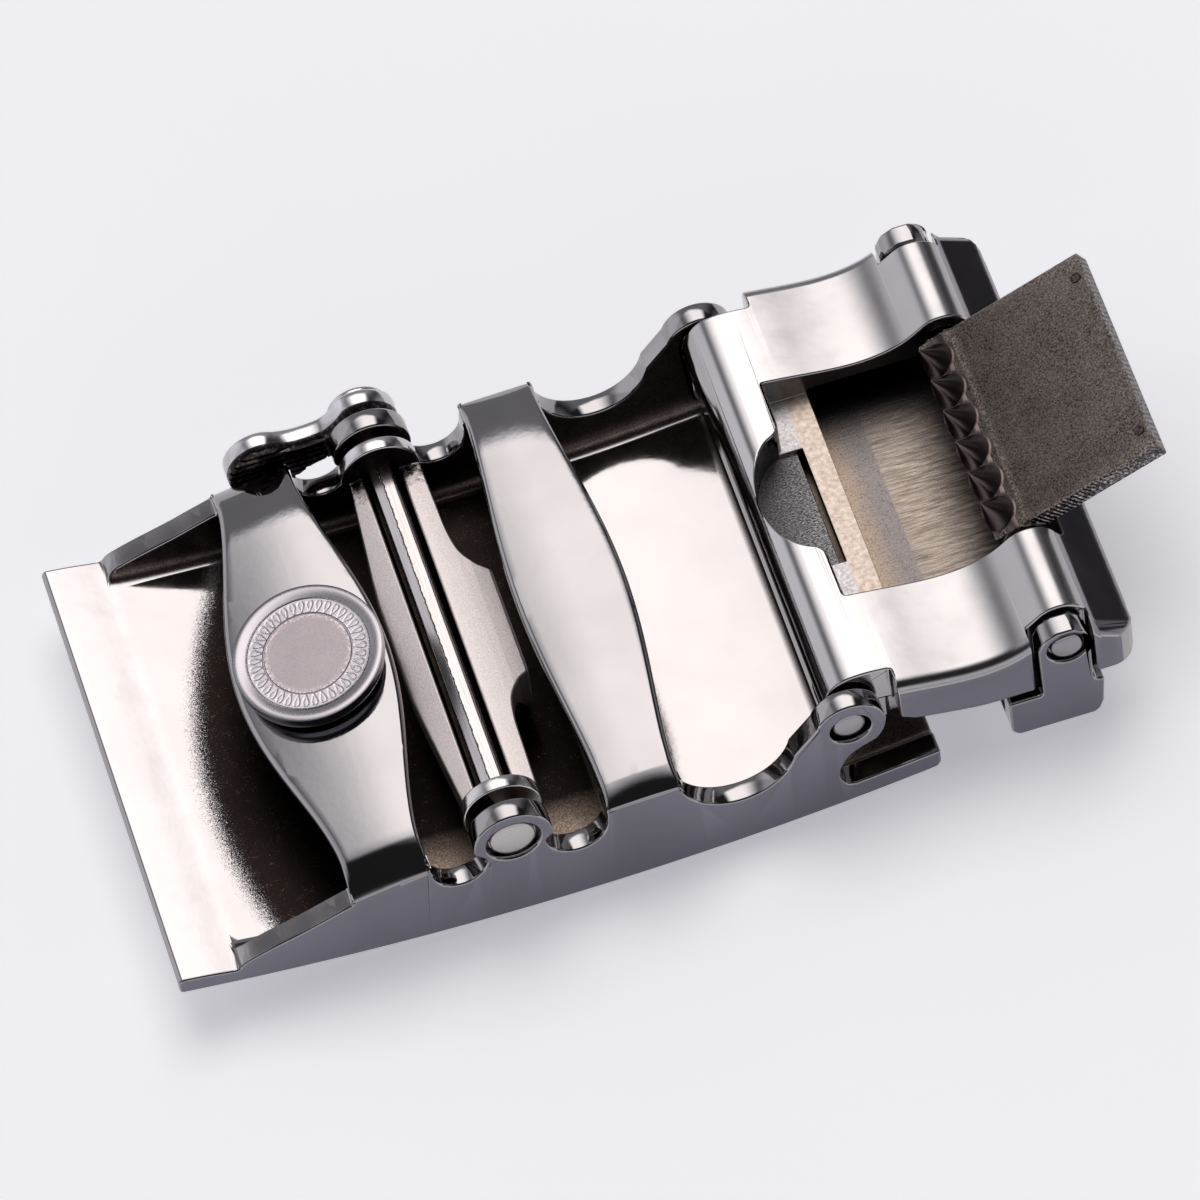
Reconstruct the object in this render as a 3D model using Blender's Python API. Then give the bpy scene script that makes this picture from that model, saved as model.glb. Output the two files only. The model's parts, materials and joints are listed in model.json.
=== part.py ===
"""Back of a ratchet belt buckle for a 35 mm belt, lying on its bowed face.

Sizes are in millimetres in the buckle's own frame: X runs along the belt from the end that takes the
belt's tip to the end that clamps the strap, Y runs across the belt, and Z rises from the face plate.
The buckle is then pitched to the angle at which it rests on its bowed face.
"""

import math

import bmesh
import bpy
from mathutils import Matrix, Vector

MM = 0.001

# Frame: bowed face plate with two side walls
FRAME_LENGTH = 58.6
FRAME_WIDTH = 40.0
FACE_SAG = 2.3
PLATE_EDGE = 1.5
PLATE_THICKNESS = 1.2
WALL_THICKNESS = 1.8
LEDGE_LENGTH = 4.6
REST_PITCH = 3.77

# Pivots, as X and Z
PAWL_AXIS = (26.36, 6.36)
CLAMP_AXIS = (52.41, 7.71)
FLAP_AXIS = (69.28, 10.13)

# Ears and notches of the side walls, as centre and radius
PAWL_EAR_RADIUS = 3.05
CLAMP_EAR_RADIUS = 2.75
NOTCH_1 = ((22.1, 5.1), 2.05)
NOTCH_2 = ((31.1, 5.4), 2.35)
SCALLOP = ((43.6, 7.6), 4.5)

# Bars: end and middle edges, height at mid width, slope along X, crown, thickness
BAR_1 = {
    "ends": (13.8, 19.9),
    "middle": (10.6, 22.5),
    "seat": (4.45, 5.6),
    "height": 7.15,
    "slope": 0.14,
    "crown": 0.35,
    "thickness": 1.7,
    "crease": 17.3,
}
BAR_2 = {
    "ends": (33.6, 39.3),
    "middle": (32.4, 40.9),
    "seat": (6.6, 6.8),
    "height": 7.9,
    "slope": 0.04,
    "crown": 0.5,
    "thickness": 1.7,
    "crease": 18.0,
}

# Hollow in the first bar's far shoulder, which leaves room for the lever's paddle
SCOOP_CENTRE = (17.4, 17.85, 10.65)
SCOOP_RADIUS = 3.7
SCOOP_LEAN = 30.0

# Emblem disc
DISC_RADII = (5.75, 6.1)
DISC_HEIGHT = 1.3
DISC_X = 16.6

# Pawl, its axle and the release lever
AXLE_RADIUS = 0.9
BORE_CLEARANCE = 0.3
CHANNEL_HALF_WIDTH = 1.5
PAWL_HALF_LENGTH = 16.2
COLLAR_RADIUS = 3.05
COLLAR_SPAN = (16.0, 17.15)
TOOTH_HALF_WIDTH = 4.8
AXLE_HEAD_RADIUS = 1.75
HEAD_BORE_DEPTH = 0.8
LEVER_SPAN = (20.4, 22.3)
LEVER_PADDLE = ((18.2, 4.8), 2.8)
LEVER_HUB_RADIUS = 2.75

# Clamp box
BOX_HALF_WIDTH = 19.9
BOX_NECK = 17.9
BOX_NECK_END = 56.3
CAVITY_HALF_WIDTH = 17.2
CAVITY_FLOOR = 5.95
CAVITY_ROOF = 8.6
WINDOW = (55.1, 72.0)
WINDOW_HALF_WIDTH = 10.45
LEDGE_END = 58.4
LEDGE_SPAN = (7.3, 8.3)
RECESS_FLOOR = 7.9
RECESS_RADIUS = 7.8
RECESS_LEFT = 51.75
SLOT_SPAN = (56.1, 56.7)
SLOT_HALF_WIDTH = 5.6
BARREL_RADIUS = 2.4
ARM_SLOT = (66.65, 71.35)
ARM_SLOT_FLOOR = 18.15

# Keeper loop and pins
KEEPER_SPAN = (18.45, 20.3)
KEEPER_PLATE = (1.3, 2.3)
HINGE_PIN_RADIUS = 0.9
HINGE_HEAD_RADIUS = 1.3
CLAMP_PIN_RADIUS = 1.25

# Toothed flap, measured along its plate and above the hinge axis
FLAP_SPAN = (-1.68, 12.6)
FLAP_FACES = (0.09, 1.59)
FLAP_HALF_WIDTH = 9.7
FLAP_BOSS_RADIUS = 1.7
FLAP_OPEN_ANGLE = 24.0
TEETH = 6
TOOTH_PITCH = 3.03
TOOTH_RADIUS = 1.45
TOOTH_HEIGHT = 2.15
TOOTH_SETBACK = 1.03
TOOTH_LEAN = 0.45

ROUND_STEPS = 24


def clear_scene():
    for item in list(bpy.data.objects):
        bpy.data.objects.remove(item, do_unlink=True)


def face_z(x):
    """Height of the face plate's bowed outer surface at x."""
    half = FRAME_LENGTH / 2
    radius = (half**2 + FACE_SAG**2) / (2 * FACE_SAG)
    return radius - FACE_SAG - math.sqrt(radius**2 - (x - half) ** 2)


def spread(start, end, steps):
    return [start + (end - start) * i / steps for i in range(steps + 1)]


def arc(centre, radius, start, end, steps):
    """Points of a circular arc in XZ, with angles in degrees."""
    angles = [math.radians(a) for a in spread(start, end, steps)]
    return [(centre[0] + radius * math.cos(a), centre[1] + radius * math.sin(a)) for a in angles]


def mesh_object(name, bm):
    bmesh.ops.recalc_face_normals(bm, faces=bm.faces)
    mesh = bpy.data.meshes.new(name)
    bm.to_mesh(mesh)
    bm.free()
    item = bpy.data.objects.new(name, mesh)
    bpy.context.scene.collection.objects.link(item)
    return item


def loft(name, rings):
    """Closed solid through rings of equally many points, capped at both ends."""
    bm = bmesh.new()
    loops = [[bm.verts.new(Vector(point) * MM) for point in ring] for ring in rings]
    for first, second in zip(loops, loops[1:]):
        for i in range(len(first)):
            j = (i + 1) % len(first)
            bm.faces.new((first[i], first[j], second[j], second[i]))
    bm.faces.new(loops[0])
    bm.faces.new(reversed(loops[-1]))
    return mesh_object(name, bm)


def prism_y(name, outline, low, high):
    """An outline in XZ, extruded across the buckle from low to high."""
    return loft(name, [[(x, y, z) for x, z in outline] for y in (low, high)])


def prism_z(name, outline, low, high):
    """An outline in XY, extruded upwards from low to high."""
    return loft(name, [[(x, y, z) for x, y in outline] for z in (low, high)])


def block(name, x_span, y_span, z_span):
    corners = [(x_span[0], z_span[0]), (x_span[1], z_span[0]), (x_span[1], z_span[1]), (x_span[0], z_span[1])]
    return prism_y(name, corners, *y_span)


def round_y(name, centre, sections, steps=ROUND_STEPS):
    """A turned solid along Y through centre, with sections as pairs of y and radius."""
    rings = []
    for y, radius in sections:
        rings.append([(x, y, z) for x, z in arc(centre, radius, 0, 360, steps)[:-1]])
    return loft(name, rings)


def combine(base, others, operation):
    """The base after a Boolean with each of the others, which are used up."""
    for other in others:
        step = base.modifiers.new(operation.lower(), "BOOLEAN")
        step.operation = operation
        step.solver = "EXACT"
        step.object = other
        graph = bpy.context.evaluated_depsgraph_get()
        result = bpy.data.meshes.new_from_object(base.evaluated_get(graph))
        base.modifiers.remove(step)
        base.data = result
        bpy.data.objects.remove(other, do_unlink=True)
    return base


def both_sides(make):
    """The two objects that make gives for the near side, -1, and the far side, +1."""
    return [make(-1), make(1)]


def side_span(side, span):
    """A span of distances from the middle plane, as y values in order on one side."""
    return sorted(side * distance for distance in span)


def wall_outline():
    """Outline of the side walls and the plate's edge."""
    points = [(x, face_z(x)) for x in spread(0, FRAME_LENGTH, 18)]
    points += [(58.9, 0.5), (58.9, 1.85), (52.3, 0.95), (51.5, 1.4), (51.2, 2.3), (51.4, 3.3)]
    points += [(52.1, 4.5), (53.2, 5.2)]
    points += arc(CLAMP_AXIS, CLAMP_EAR_RADIUS, -50, 160, 16)
    points += arc(*SCALLOP, -14, -160, 14)
    points += [(BAR_2["ends"][1], BAR_2["seat"][1]), (BAR_2["ends"][0], BAR_2["seat"][0])]
    points += arc(*NOTCH_2, 0, -180, 10)
    points += arc(PAWL_AXIS, PAWL_EAR_RADIUS, -8, 188, 16)
    points += arc(*NOTCH_1, 0, -180, 10)
    points += [(BAR_1["ends"][1], BAR_1["seat"][1]), (BAR_1["ends"][0] - 0.3, BAR_1["seat"][0])]
    points += [(12.0, 3.75), (10.0, 3.0), (7.2, 2.1), (5.2, 1.3)]
    points += [(LEDGE_LENGTH, face_z(LEDGE_LENGTH) + PLATE_EDGE), (2.0, face_z(2.0) + PLATE_EDGE)]
    points += [(0.4, PLATE_EDGE), (0.0, PLATE_EDGE - 0.4)]
    return points


def bar_ring(bar, y):
    """Section of a bridge bar at y: a crowned top over a flat underside."""
    half = FRAME_WIDTH / 2
    bulge = math.cos(min(abs(y) / bar["crease"], 1) * math.pi / 2) ** 1.5
    left, right = (end + (mid - end) * bulge for end, mid in zip(bar["ends"], bar["middle"]))
    centre = (left + right) / 2
    middle = sum(bar["ends"]) / 2
    fold = max(0.0, abs(y) - bar["crease"]) / (half - bar["crease"])
    drop = 1 - math.sqrt(max(0.0, 1 - fold**2))
    deepen = min(1.0, max(0.0, (abs(y) - 13.5) / 4))
    top = []
    for t in spread(-1, 1, 6):
        x = centre + t * (right - left) / 2
        z = bar["height"] + bar["slope"] * (x - middle) + bar["crown"] * (0.5 - t * t)
        share = (x - bar["ends"][0]) / (bar["ends"][1] - bar["ends"][0])
        seat = bar["seat"][0] + (bar["seat"][1] - bar["seat"][0]) * share - 0.05
        top.append((x, y, z + (seat - z) * drop))
    base = bar["height"] - bar["thickness"] - 1.3 * deepen
    underside = [(x, y, base + bar["slope"] * (x - middle)) for x in (right - 0.2, left + 0.2)]
    return top + underside


def bar_solid(name, bar):
    half = FRAME_WIDTH / 2 - 0.02
    crease = bar["crease"]
    side = [half] + [crease + (half - crease) * math.sin(math.radians(a)) for a in (75, 55, 30)]
    side += [crease, 15.0, 12.0, 9.0, 6.0, 3.0]
    stations = [-y for y in side] + [0.0] + side[::-1]
    return loft(name, [bar_ring(bar, y) for y in stations])


def thumb_scoop():
    """A round cut that slopes down towards the lever."""
    scoop = round_y("scoop", (0, 0), [(-3.0, SCOOP_RADIUS), (6.0, SCOOP_RADIUS)], 36)
    lean = Matrix.Rotation(math.radians(-SCOOP_LEAN), 4, "X")
    scoop.data.transform(Matrix.Translation(Vector(SCOOP_CENTRE) * MM) @ lean)
    return scoop


def build_frame():
    half = FRAME_WIDTH / 2
    frame = prism_y("frame", wall_outline(), -half, half)
    inner = [(x, face_z(x) + PLATE_THICKNESS) for x in spread(2.4, FRAME_LENGTH, 16)]
    inner += [(60.5, PLATE_THICKNESS), (60.5, 20.0), (1.4, 20.0), (1.4, face_z(1.4) + PLATE_EDGE + 0.1)]
    reach = half - WALL_THICKNESS
    cutters = [prism_y("interior", inner, -reach, reach)]
    axle_bore = AXLE_RADIUS + BORE_CLEARANCE
    pin_bore = CLAMP_PIN_RADIUS + BORE_CLEARANCE
    head_bore = AXLE_HEAD_RADIUS + 0.4
    cutters.append(round_y("axle_bore", PAWL_AXIS, [(-21, axle_bore), (21, axle_bore)]))
    cutters.append(round_y("head_bore", PAWL_AXIS, [(-21, head_bore), (HEAD_BORE_DEPTH - half, head_bore)]))
    cutters.append(round_y("pin_bore", CLAMP_AXIS, [(-21, pin_bore), (21, pin_bore)]))
    cutters.append(thumb_scoop())
    bars = [bar_solid("bar_1", BAR_1), bar_solid("bar_2", BAR_2)]
    combine(frame, cutters[:1], "DIFFERENCE")
    combine(frame, bars, "UNION")
    return combine(frame, cutters[1:], "DIFFERENCE")


def disc_frame():
    """Placement of the emblem disc on the crown of the first bar, with Z along its axis."""
    middle = sum(BAR_1["ends"]) / 2
    top = BAR_1["height"] + BAR_1["slope"] * (DISC_X - middle) + BAR_1["crown"] / 2
    tilt = Matrix.Rotation(-math.atan(BAR_1["slope"]), 4, "Y")
    return Matrix.Translation(Vector((DISC_X, 0, top + 0.3)) * MM) @ tilt


def build_disc():
    """A low oval disc with a rounded edge and a raised rim round a flat field."""
    outline = [(0.95, 0.0), (1.0, 0.35), (1.0, 0.85), (0.975, 1.15), (0.93, DISC_HEIGHT), (0.87, DISC_HEIGHT)]
    outline += [(0.84, DISC_HEIGHT - 0.15)]
    rings = []
    for scale, z in outline:
        angles = [2 * math.pi * i / 40 for i in range(40)]
        rings.append([(DISC_RADII[0] * scale * math.cos(a), DISC_RADII[1] * scale * math.sin(a), z) for a in angles])
    disc = loft("emblem_disc", rings)
    disc.data.transform(disc_frame())
    return disc


def pawl_plan():
    """Outline of the pawl from above, wide at the tooth."""
    right = [(29.4, PAWL_HALF_LENGTH), (29.6, 9.0), (30.0, 7.0), (31.0, 5.4), (31.8, TOOTH_HALF_WIDTH)]
    left = [(22.9, TOOTH_HALF_WIDTH), (23.1, 7.0), (23.9, PAWL_HALF_LENGTH)]
    return right + [(x, -y) for x, y in right[::-1]] + [(x, -y) for x, y in left[::-1]] + left


def build_pawl():
    x, z = PAWL_AXIS
    channel = AXLE_RADIUS + BORE_CLEARANCE
    wide = CHANNEL_HALF_WIDTH
    profile = [(x - 4.5, z - 1.5), (x - wide, z + 0.12), (x - channel, z - 0.5), (x - channel, z - channel)]
    profile += [(x + channel, z - channel), (x + channel, z - 0.5), (x + wide, z + 0.12), (x + 3.4, z - 0.3)]
    profile += [(x + 6.0, z - 1.3), (x + 6.0, z - 4.3), (x + 4.7, z - 4.3), (x + 4.0, z - 2.4)]
    profile += [(x + 2.0, z - 2.1), (x - 4.5, z - 2.5)]
    pawl = prism_y("pawl", profile, -PAWL_HALF_LENGTH, PAWL_HALF_LENGTH)
    combine(pawl, [prism_z("plan", pawl_plan(), 0.0, 12.0)], "INTERSECT")
    collars = []
    for side in (-1, 1):
        low, high = side_span(side, COLLAR_SPAN)
        collars.append(round_y("collar", PAWL_AXIS, [(low, COLLAR_RADIUS), (high, COLLAR_RADIUS)]))
    combine(pawl, collars, "UNION")
    bore = round_y("bore", PAWL_AXIS, [(-19, channel), (19, channel)])
    return combine(pawl, [bore], "DIFFERENCE")


def build_axle():
    head = -FRAME_WIDTH / 2 + HEAD_BORE_DEPTH - BORE_CLEARANCE
    sections = [(head - 0.6, 0.5), (head - 0.5, 1.1), (head - 0.2, AXLE_HEAD_RADIUS), (head, AXLE_HEAD_RADIUS)]
    sections += [(head + 0.01, AXLE_RADIUS), (21.4, AXLE_RADIUS)]
    return round_y("pawl_axle", PAWL_AXIS, sections)


def build_lever():
    """Hub, arm and round paddle in one plate outside the far wall."""
    low, high = LEVER_SPAN
    (x, z), radius = LEVER_PADDLE
    hub_x, hub_z = PAWL_AXIS
    outline = arc((x, z), radius, 60, 290, 14)
    outline += [(20.8, 3.3), (23.2, 4.4)]
    outline += arc((hub_x, hub_z), LEVER_HUB_RADIUS, 220, 480, 18)
    outline += [(23.4, 7.0), (21.2, 6.9)]
    lever = prism_y("release_lever", outline, low, high)
    hub = [(low - 0.05, LEVER_HUB_RADIUS - 0.2), (high + 0.1, LEVER_HUB_RADIUS - 0.2), (high + 0.7, 2.2), (high + 1.0, 1.2)]
    combine(lever, [round_y("hub", PAWL_AXIS, hub)], "UNION")
    bore = AXLE_RADIUS + BORE_CLEARANCE
    return combine(lever, [round_y("bore", PAWL_AXIS, [(low - 1, bore), (21.7, bore)])], "DIFFERENCE")


def box_outline():
    """Outline of the clamp box: rounded nose, dished top, hinge barrel and sloping lip."""
    top = [(74.7, 6.4), (74.7, 8.8), (74.2, 9.4), (71.8, 10.6)]
    top += arc(FLAP_AXIS, BARREL_RADIUS, 25, 150, 8)
    top += [(66.0, 10.65), (64.0, 10.35), (61.0, 10.45), (58.0, 10.75), (55.5, 11.05), (53.6, 11.1)]
    top += [(52.4, 10.85), (51.6, 10.2), (51.1, 9.4), (50.9, 8.5)]
    bottom = [(50.9, 6.3), (51.4, 5.5), (52.2, 5.15), (56.3, 5.15), (74.1, 5.15)]
    return top, bottom


def box_shell():
    top, bottom = box_outline()
    rings = []
    for inset, drop in ((0.0, 1.1), (0.2, 0.5), (0.6, 0.15), (1.1, 0.0)):
        ring = [(x, z - drop * (0.4 if i < 3 else 1.0)) for i, (x, z) in enumerate(top)] + bottom
        rings.append((BOX_HALF_WIDTH - inset, ring))
    stations = [(-y, ring) for y, ring in rings] + rings[::-1]
    return loft("clamp_box", [[(x, y, z) for x, z in ring] for y, ring in stations])


def wing_cut(side):
    """Space below a side wing, whose lower edge runs higher than the floor between the wings."""
    outline = [(BOX_NECK_END - 0.5, 7.4), (57.7, 6.5), (60.7, 5.9), (63.0, 5.6), (66.5, 5.6), (75.5, 5.76)]
    outline += [(75.5, 4.0), (BOX_NECK_END - 0.5, 4.0)]
    return prism_y("wing_cut", outline, *side_span(side, (17.6, 21.0)))


def build_box():
    box = box_shell()
    pin_bore = CLAMP_PIN_RADIUS + BORE_CLEARANCE
    hinge_bore = HINGE_PIN_RADIUS + BORE_CLEARANCE
    roof = CAVITY_ROOF
    inner = (-CAVITY_HALF_WIDTH, CAVITY_HALF_WIDTH)
    window = (-WINDOW_HALF_WIDTH, WINDOW_HALF_WIDTH)
    recess = arc((RECESS_LEFT + RECESS_RADIUS, 0), RECESS_RADIUS, 127, 233, 12)
    recess += [(SLOT_SPAN[0], -SLOT_HALF_WIDTH), (SLOT_SPAN[0], SLOT_HALF_WIDTH)]
    cutters = both_sides(wing_cut)
    for side in (-1, 1):
        outside = side_span(side, (BOX_NECK, 21.0))
        arm = side_span(side, (ARM_SLOT_FLOOR, 21.0))
        blind = side_span(side, (BOX_NECK - 2.6, 21.0))
        cutters.append(block("ear_pocket", (50.0, BOX_NECK_END), outside, (4.0, 12.0)))
        cutters.append(block("arm_slot", ARM_SLOT, arm, (4.0, 14.0)))
        cutters.append(round_y("pin_bore", CLAMP_AXIS, [(y, pin_bore) for y in blind]))
    cutters.append(block("strap_way", (LEDGE_END, 76.0), inner, (CAVITY_FLOOR, roof)))
    cutters.append(block("under_ledge", (55.0, LEDGE_END + 0.2), inner, (CAVITY_FLOOR, LEDGE_SPAN[0])))
    cutters.append(block("window", (LEDGE_END, WINDOW[1]), window, (roof - 0.3, 14.0)))
    cutters.append(block("window_left", (WINDOW[0], LEDGE_END + 0.2), window, (LEDGE_SPAN[1], 14.0)))
    cutters.append(prism_z("finger_recess", recess, RECESS_FLOOR, 14.0))
    cutters.append(block("slot", SLOT_SPAN, (-SLOT_HALF_WIDTH, SLOT_HALF_WIDTH), (LEDGE_SPAN[0] - 0.3, 9.0)))
    cutters.append(round_y("hinge_bore", FLAP_AXIS, [(-21, hinge_bore), (21, hinge_bore)]))
    return combine(box, cutters, "DIFFERENCE")


def build_clamp_pin(side):
    name = "clamp_pin_near" if side < 0 else "clamp_pin_far"
    sections = [(15.6, CLAMP_PIN_RADIUS), (19.45, CLAMP_PIN_RADIUS), (19.75, 0.9), (19.9, 0.4)]
    sections = [(side * y, radius) for y, radius in sections]
    return round_y(name, CLAMP_AXIS, sections, 20)


def build_flap():
    """Toothed flap, built flat about its hinge and then turned to its open angle."""
    low = FLAP_SPAN[0]
    face = FLAP_FACES[1]
    span = (-FLAP_HALF_WIDTH, FLAP_HALF_WIDTH)
    flap = block("jaw_flap", FLAP_SPAN, span, FLAP_FACES)
    boss = round_y("boss", (0, 0), [(y, FLAP_BOSS_RADIUS) for y in span])
    combine(flap, [boss], "UNION")
    for i in range(TEETH):
        y = (i - (TEETH - 1) / 2) * TOOTH_PITCH
        base = low + TOOTH_SETBACK
        sections = ((0.0, 1.0, face - 0.3), (0.0, 1.0, face), (TOOTH_LEAN, 0.08, face + TOOTH_HEIGHT))
        rings = []
        for lean, scale, z in sections:
            angles = [2 * math.pi * k / 12 for k in range(12)]
            radius = TOOTH_RADIUS * scale
            rings.append([(base - lean + radius * math.cos(a), y + radius * math.sin(a), z) for a in angles])
        combine(flap, [loft("tooth", rings)], "UNION")
    trim = block("trim", (low - 3, low), (-11, 11), (-3, 6))
    bore = HINGE_PIN_RADIUS + BORE_CLEARANCE
    combine(flap, [trim, round_y("bore", (0, 0), [(-11, bore), (11, bore)])], "DIFFERENCE")
    turn = Matrix.Rotation(math.radians(-FLAP_OPEN_ANGLE), 4, "Y")
    flap.data.transform(Matrix.Translation(Vector((FLAP_AXIS[0], 0, FLAP_AXIS[1])) * MM) @ turn)
    return flap


def build_hinge_pin():
    end = KEEPER_SPAN[1] + 0.1
    head = [(end, 0.4), (end - 0.15, 0.9), (end - 0.35, HINGE_HEAD_RADIUS), (end - 0.6, HINGE_HEAD_RADIUS)]
    head.append((end - 0.61, HINGE_PIN_RADIUS))
    sections = [(-y, radius) for y, radius in head] + head[::-1]
    return round_y("hinge_pin", FLAP_AXIS, sections, 20)


def keeper_side():
    """Outline of a keeper's side plate: a round-topped arm on a wider foot."""
    low = KEEPER_PLATE[0]
    outline = [(64.9, low), (70.9, low), (71.3, 1.7), (71.6, 2.5), (71.8, 5.2), (71.2, 5.25), (71.0, 5.7)]
    outline += [(71.0, 10.7), (70.6, 11.6), (69.8, 12.15), (68.5, 12.15), (67.5, 11.6), (67.0, 10.6)]
    return outline + [(67.0, 5.2), (64.4, 5.2), (64.4, 1.8)]


def build_keeper():
    width = KEEPER_SPAN[1]
    keeper = prism_y("keeper", keeper_side(), -width, width)
    between = block("between", (60, 75), (-KEEPER_SPAN[0], KEEPER_SPAN[0]), (KEEPER_PLATE[1], 14))
    bore = HINGE_PIN_RADIUS + BORE_CLEARANCE
    head_bore = HINGE_HEAD_RADIUS + BORE_CLEARANCE
    cutters = [between, round_y("bore", FLAP_AXIS, [(-22, bore), (22, bore)])]
    for side in (-1, 1):
        span = side_span(side, (width - 0.8, 22))
        cutters.append(round_y("head_bore", FLAP_AXIS, [(y, head_bore) for y in span]))
    return combine(keeper, cutters, "DIFFERENCE")


def material(name, colour, roughness, metallic):
    item = bpy.data.materials.new(name)
    item.use_nodes = True
    shader = item.node_tree.nodes["Principled BSDF"]
    shader.inputs["Base Color"].default_value = (*colour, 1.0)
    shader.inputs["Roughness"].default_value = roughness
    shader.inputs["Metallic"].default_value = metallic
    item.diffuse_color = (*colour, 1.0)
    return item


def pivot(name, axis, parent):
    """An empty on a joint's axis, which carries the pieces that turn about it."""
    empty = bpy.data.objects.new(name, None)
    bpy.context.scene.collection.objects.link(empty)
    empty.empty_display_size = 5 * MM
    origin = Vector((axis[0], 0, axis[1])) * MM
    empty["axis_x"] = origin.x
    empty["axis_z"] = origin.z
    if parent is not None:
        empty.parent = parent
        origin = origin - Vector((parent["axis_x"], 0, parent["axis_z"]))
    empty.location = origin
    return empty


def attach(item, parent, finish):
    """Hangs a piece on its pivot, with the piece's origin on the pivot's axis."""
    item.data.transform(Matrix.Translation(-Vector((parent["axis_x"], 0, parent["axis_z"]))))
    item.parent = parent
    item.data.materials.clear()
    item.data.materials.append(finish)
    item.data.shade_smooth()
    item.data.set_sharp_from_angle(angle=math.radians(32))


def set_down(root):
    """Pitches the buckle to its resting angle and puts the middle of its underside on the origin."""
    root.rotation_euler = (0, math.radians(REST_PITCH), 0)
    bpy.context.view_layer.update()
    corners = [
        item.matrix_world @ vertex.co
        for item in bpy.data.objects
        if item.type == "MESH"
        for vertex in item.data.vertices
    ]
    low = [min(corner[i] for corner in corners) for i in range(3)]
    high = [max(corner[i] for corner in corners) for i in range(3)]
    root.location -= Vector(((low[0] + high[0]) / 2, (low[1] + high[1]) / 2, low[2]))
    bpy.context.view_layer.update()


def main():
    clear_scene()
    root = pivot("buckle_root", (0, 0), None)
    pawl_pivot = pivot("pawl_pivot", PAWL_AXIS, root)
    clamp_pivot = pivot("clamp_pivot", CLAMP_AXIS, root)
    flap_pivot = pivot("flap_pivot", FLAP_AXIS, clamp_pivot)

    chrome = material("dark_chrome", (0.42, 0.39, 0.41), 0.12, 1.0)
    satin = material("satin_disc", (0.50, 0.46, 0.48), 0.38, 1.0)
    brushed = material("pawl_satin", (0.55, 0.50, 0.49), 0.32, 1.0)
    bright = material("bright_rod", (0.72, 0.68, 0.67), 0.14, 1.0)
    blasted = material("blasted_flap", (0.25, 0.21, 0.19), 0.55, 1.0)
    sleeve = material("sleeve_chrome", (0.55, 0.51, 0.51), 0.16, 1.0)
    rivet = material("rivet_steel", (0.45, 0.43, 0.46), 0.25, 1.0)
    bracket = material("keeper_chrome", (0.36, 0.34, 0.37), 0.15, 1.0)
    paddle = material("lever_chrome", (0.30, 0.28, 0.30), 0.2, 1.0)

    attach(build_frame(), root, chrome)
    attach(build_disc(), root, satin)
    attach(build_pawl(), pawl_pivot, brushed)
    attach(build_axle(), pawl_pivot, bright)
    attach(build_lever(), pawl_pivot, paddle)
    attach(build_box(), clamp_pivot, sleeve)
    for pin in both_sides(build_clamp_pin):
        attach(pin, clamp_pivot, rivet)
    attach(build_keeper(), clamp_pivot, bracket)
    attach(build_hinge_pin(), clamp_pivot, rivet)
    attach(build_flap(), flap_pivot, blasted)
    set_down(root)


main()
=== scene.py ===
"""Looks of the ratchet belt buckle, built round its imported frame.

Shapes are made in millimetres in the buckle's own frame, as in the CAD source: X along the belt,
Y across it, Z up from the bowed face plate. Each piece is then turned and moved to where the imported
frame lies.
"""

import json
from math import asin, atan, cos, degrees, hypot, pi, radians, sin, sqrt

import bmesh
import bpy
from mathutils import Matrix, Vector
from mathutils.bvhtree import BVHTree


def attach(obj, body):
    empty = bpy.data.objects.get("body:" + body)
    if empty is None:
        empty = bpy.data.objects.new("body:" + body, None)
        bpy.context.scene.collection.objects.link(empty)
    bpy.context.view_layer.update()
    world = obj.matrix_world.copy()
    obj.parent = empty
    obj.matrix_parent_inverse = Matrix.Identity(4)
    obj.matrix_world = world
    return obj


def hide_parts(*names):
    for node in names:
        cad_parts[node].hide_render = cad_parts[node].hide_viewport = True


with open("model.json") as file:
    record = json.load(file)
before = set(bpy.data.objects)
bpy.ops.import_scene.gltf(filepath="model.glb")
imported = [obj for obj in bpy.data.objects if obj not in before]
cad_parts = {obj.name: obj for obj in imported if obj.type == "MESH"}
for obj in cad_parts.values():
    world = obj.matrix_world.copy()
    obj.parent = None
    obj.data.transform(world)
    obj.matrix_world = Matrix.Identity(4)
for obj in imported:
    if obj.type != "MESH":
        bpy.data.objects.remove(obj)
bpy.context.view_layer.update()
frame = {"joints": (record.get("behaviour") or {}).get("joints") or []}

MM = 0.001
REST_PITCH = 3.77

# Tidying, rounding and smoothing of meshes: distances in millimetres, angles in degrees
MERGE_DISTANCE = 0.004
FLAT_ANGLE = 0.05
EDGE_ANGLE = 30
STRAY_SHARE = 0.7
SMOOTH_ANGLE = 35
NORMAL_WEIGHT = 60
WEAR_START = 10
WEAR_RANGE = 22
EVENING_PASSES = 10

FRAME_LENGTH = 58.6
FRAME_WIDTH = 40.0
FACE_SAG = 2.3
PLATE_EDGE = 1.5
PLATE_THICKNESS = 1.2
WALL_THICKNESS = 1.8
WALL_FILLET = 1.1
LEDGE_LENGTH = 4.6
TAIL_END = 58.9

PAWL_AXIS = (26.36, 6.36)
CLAMP_AXIS = (52.41, 7.71)
FLAP_AXIS = (69.28, 10.13)
PAWL_EAR_RADIUS = 3.05
CLAMP_EAR_RADIUS = 2.75
NOTCH_1 = ((22.1, 5.1), 2.05)
NOTCH_2 = ((31.1, 5.4), 2.35)
SCALLOP = ((43.6, 7.6), 4.5)

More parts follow.
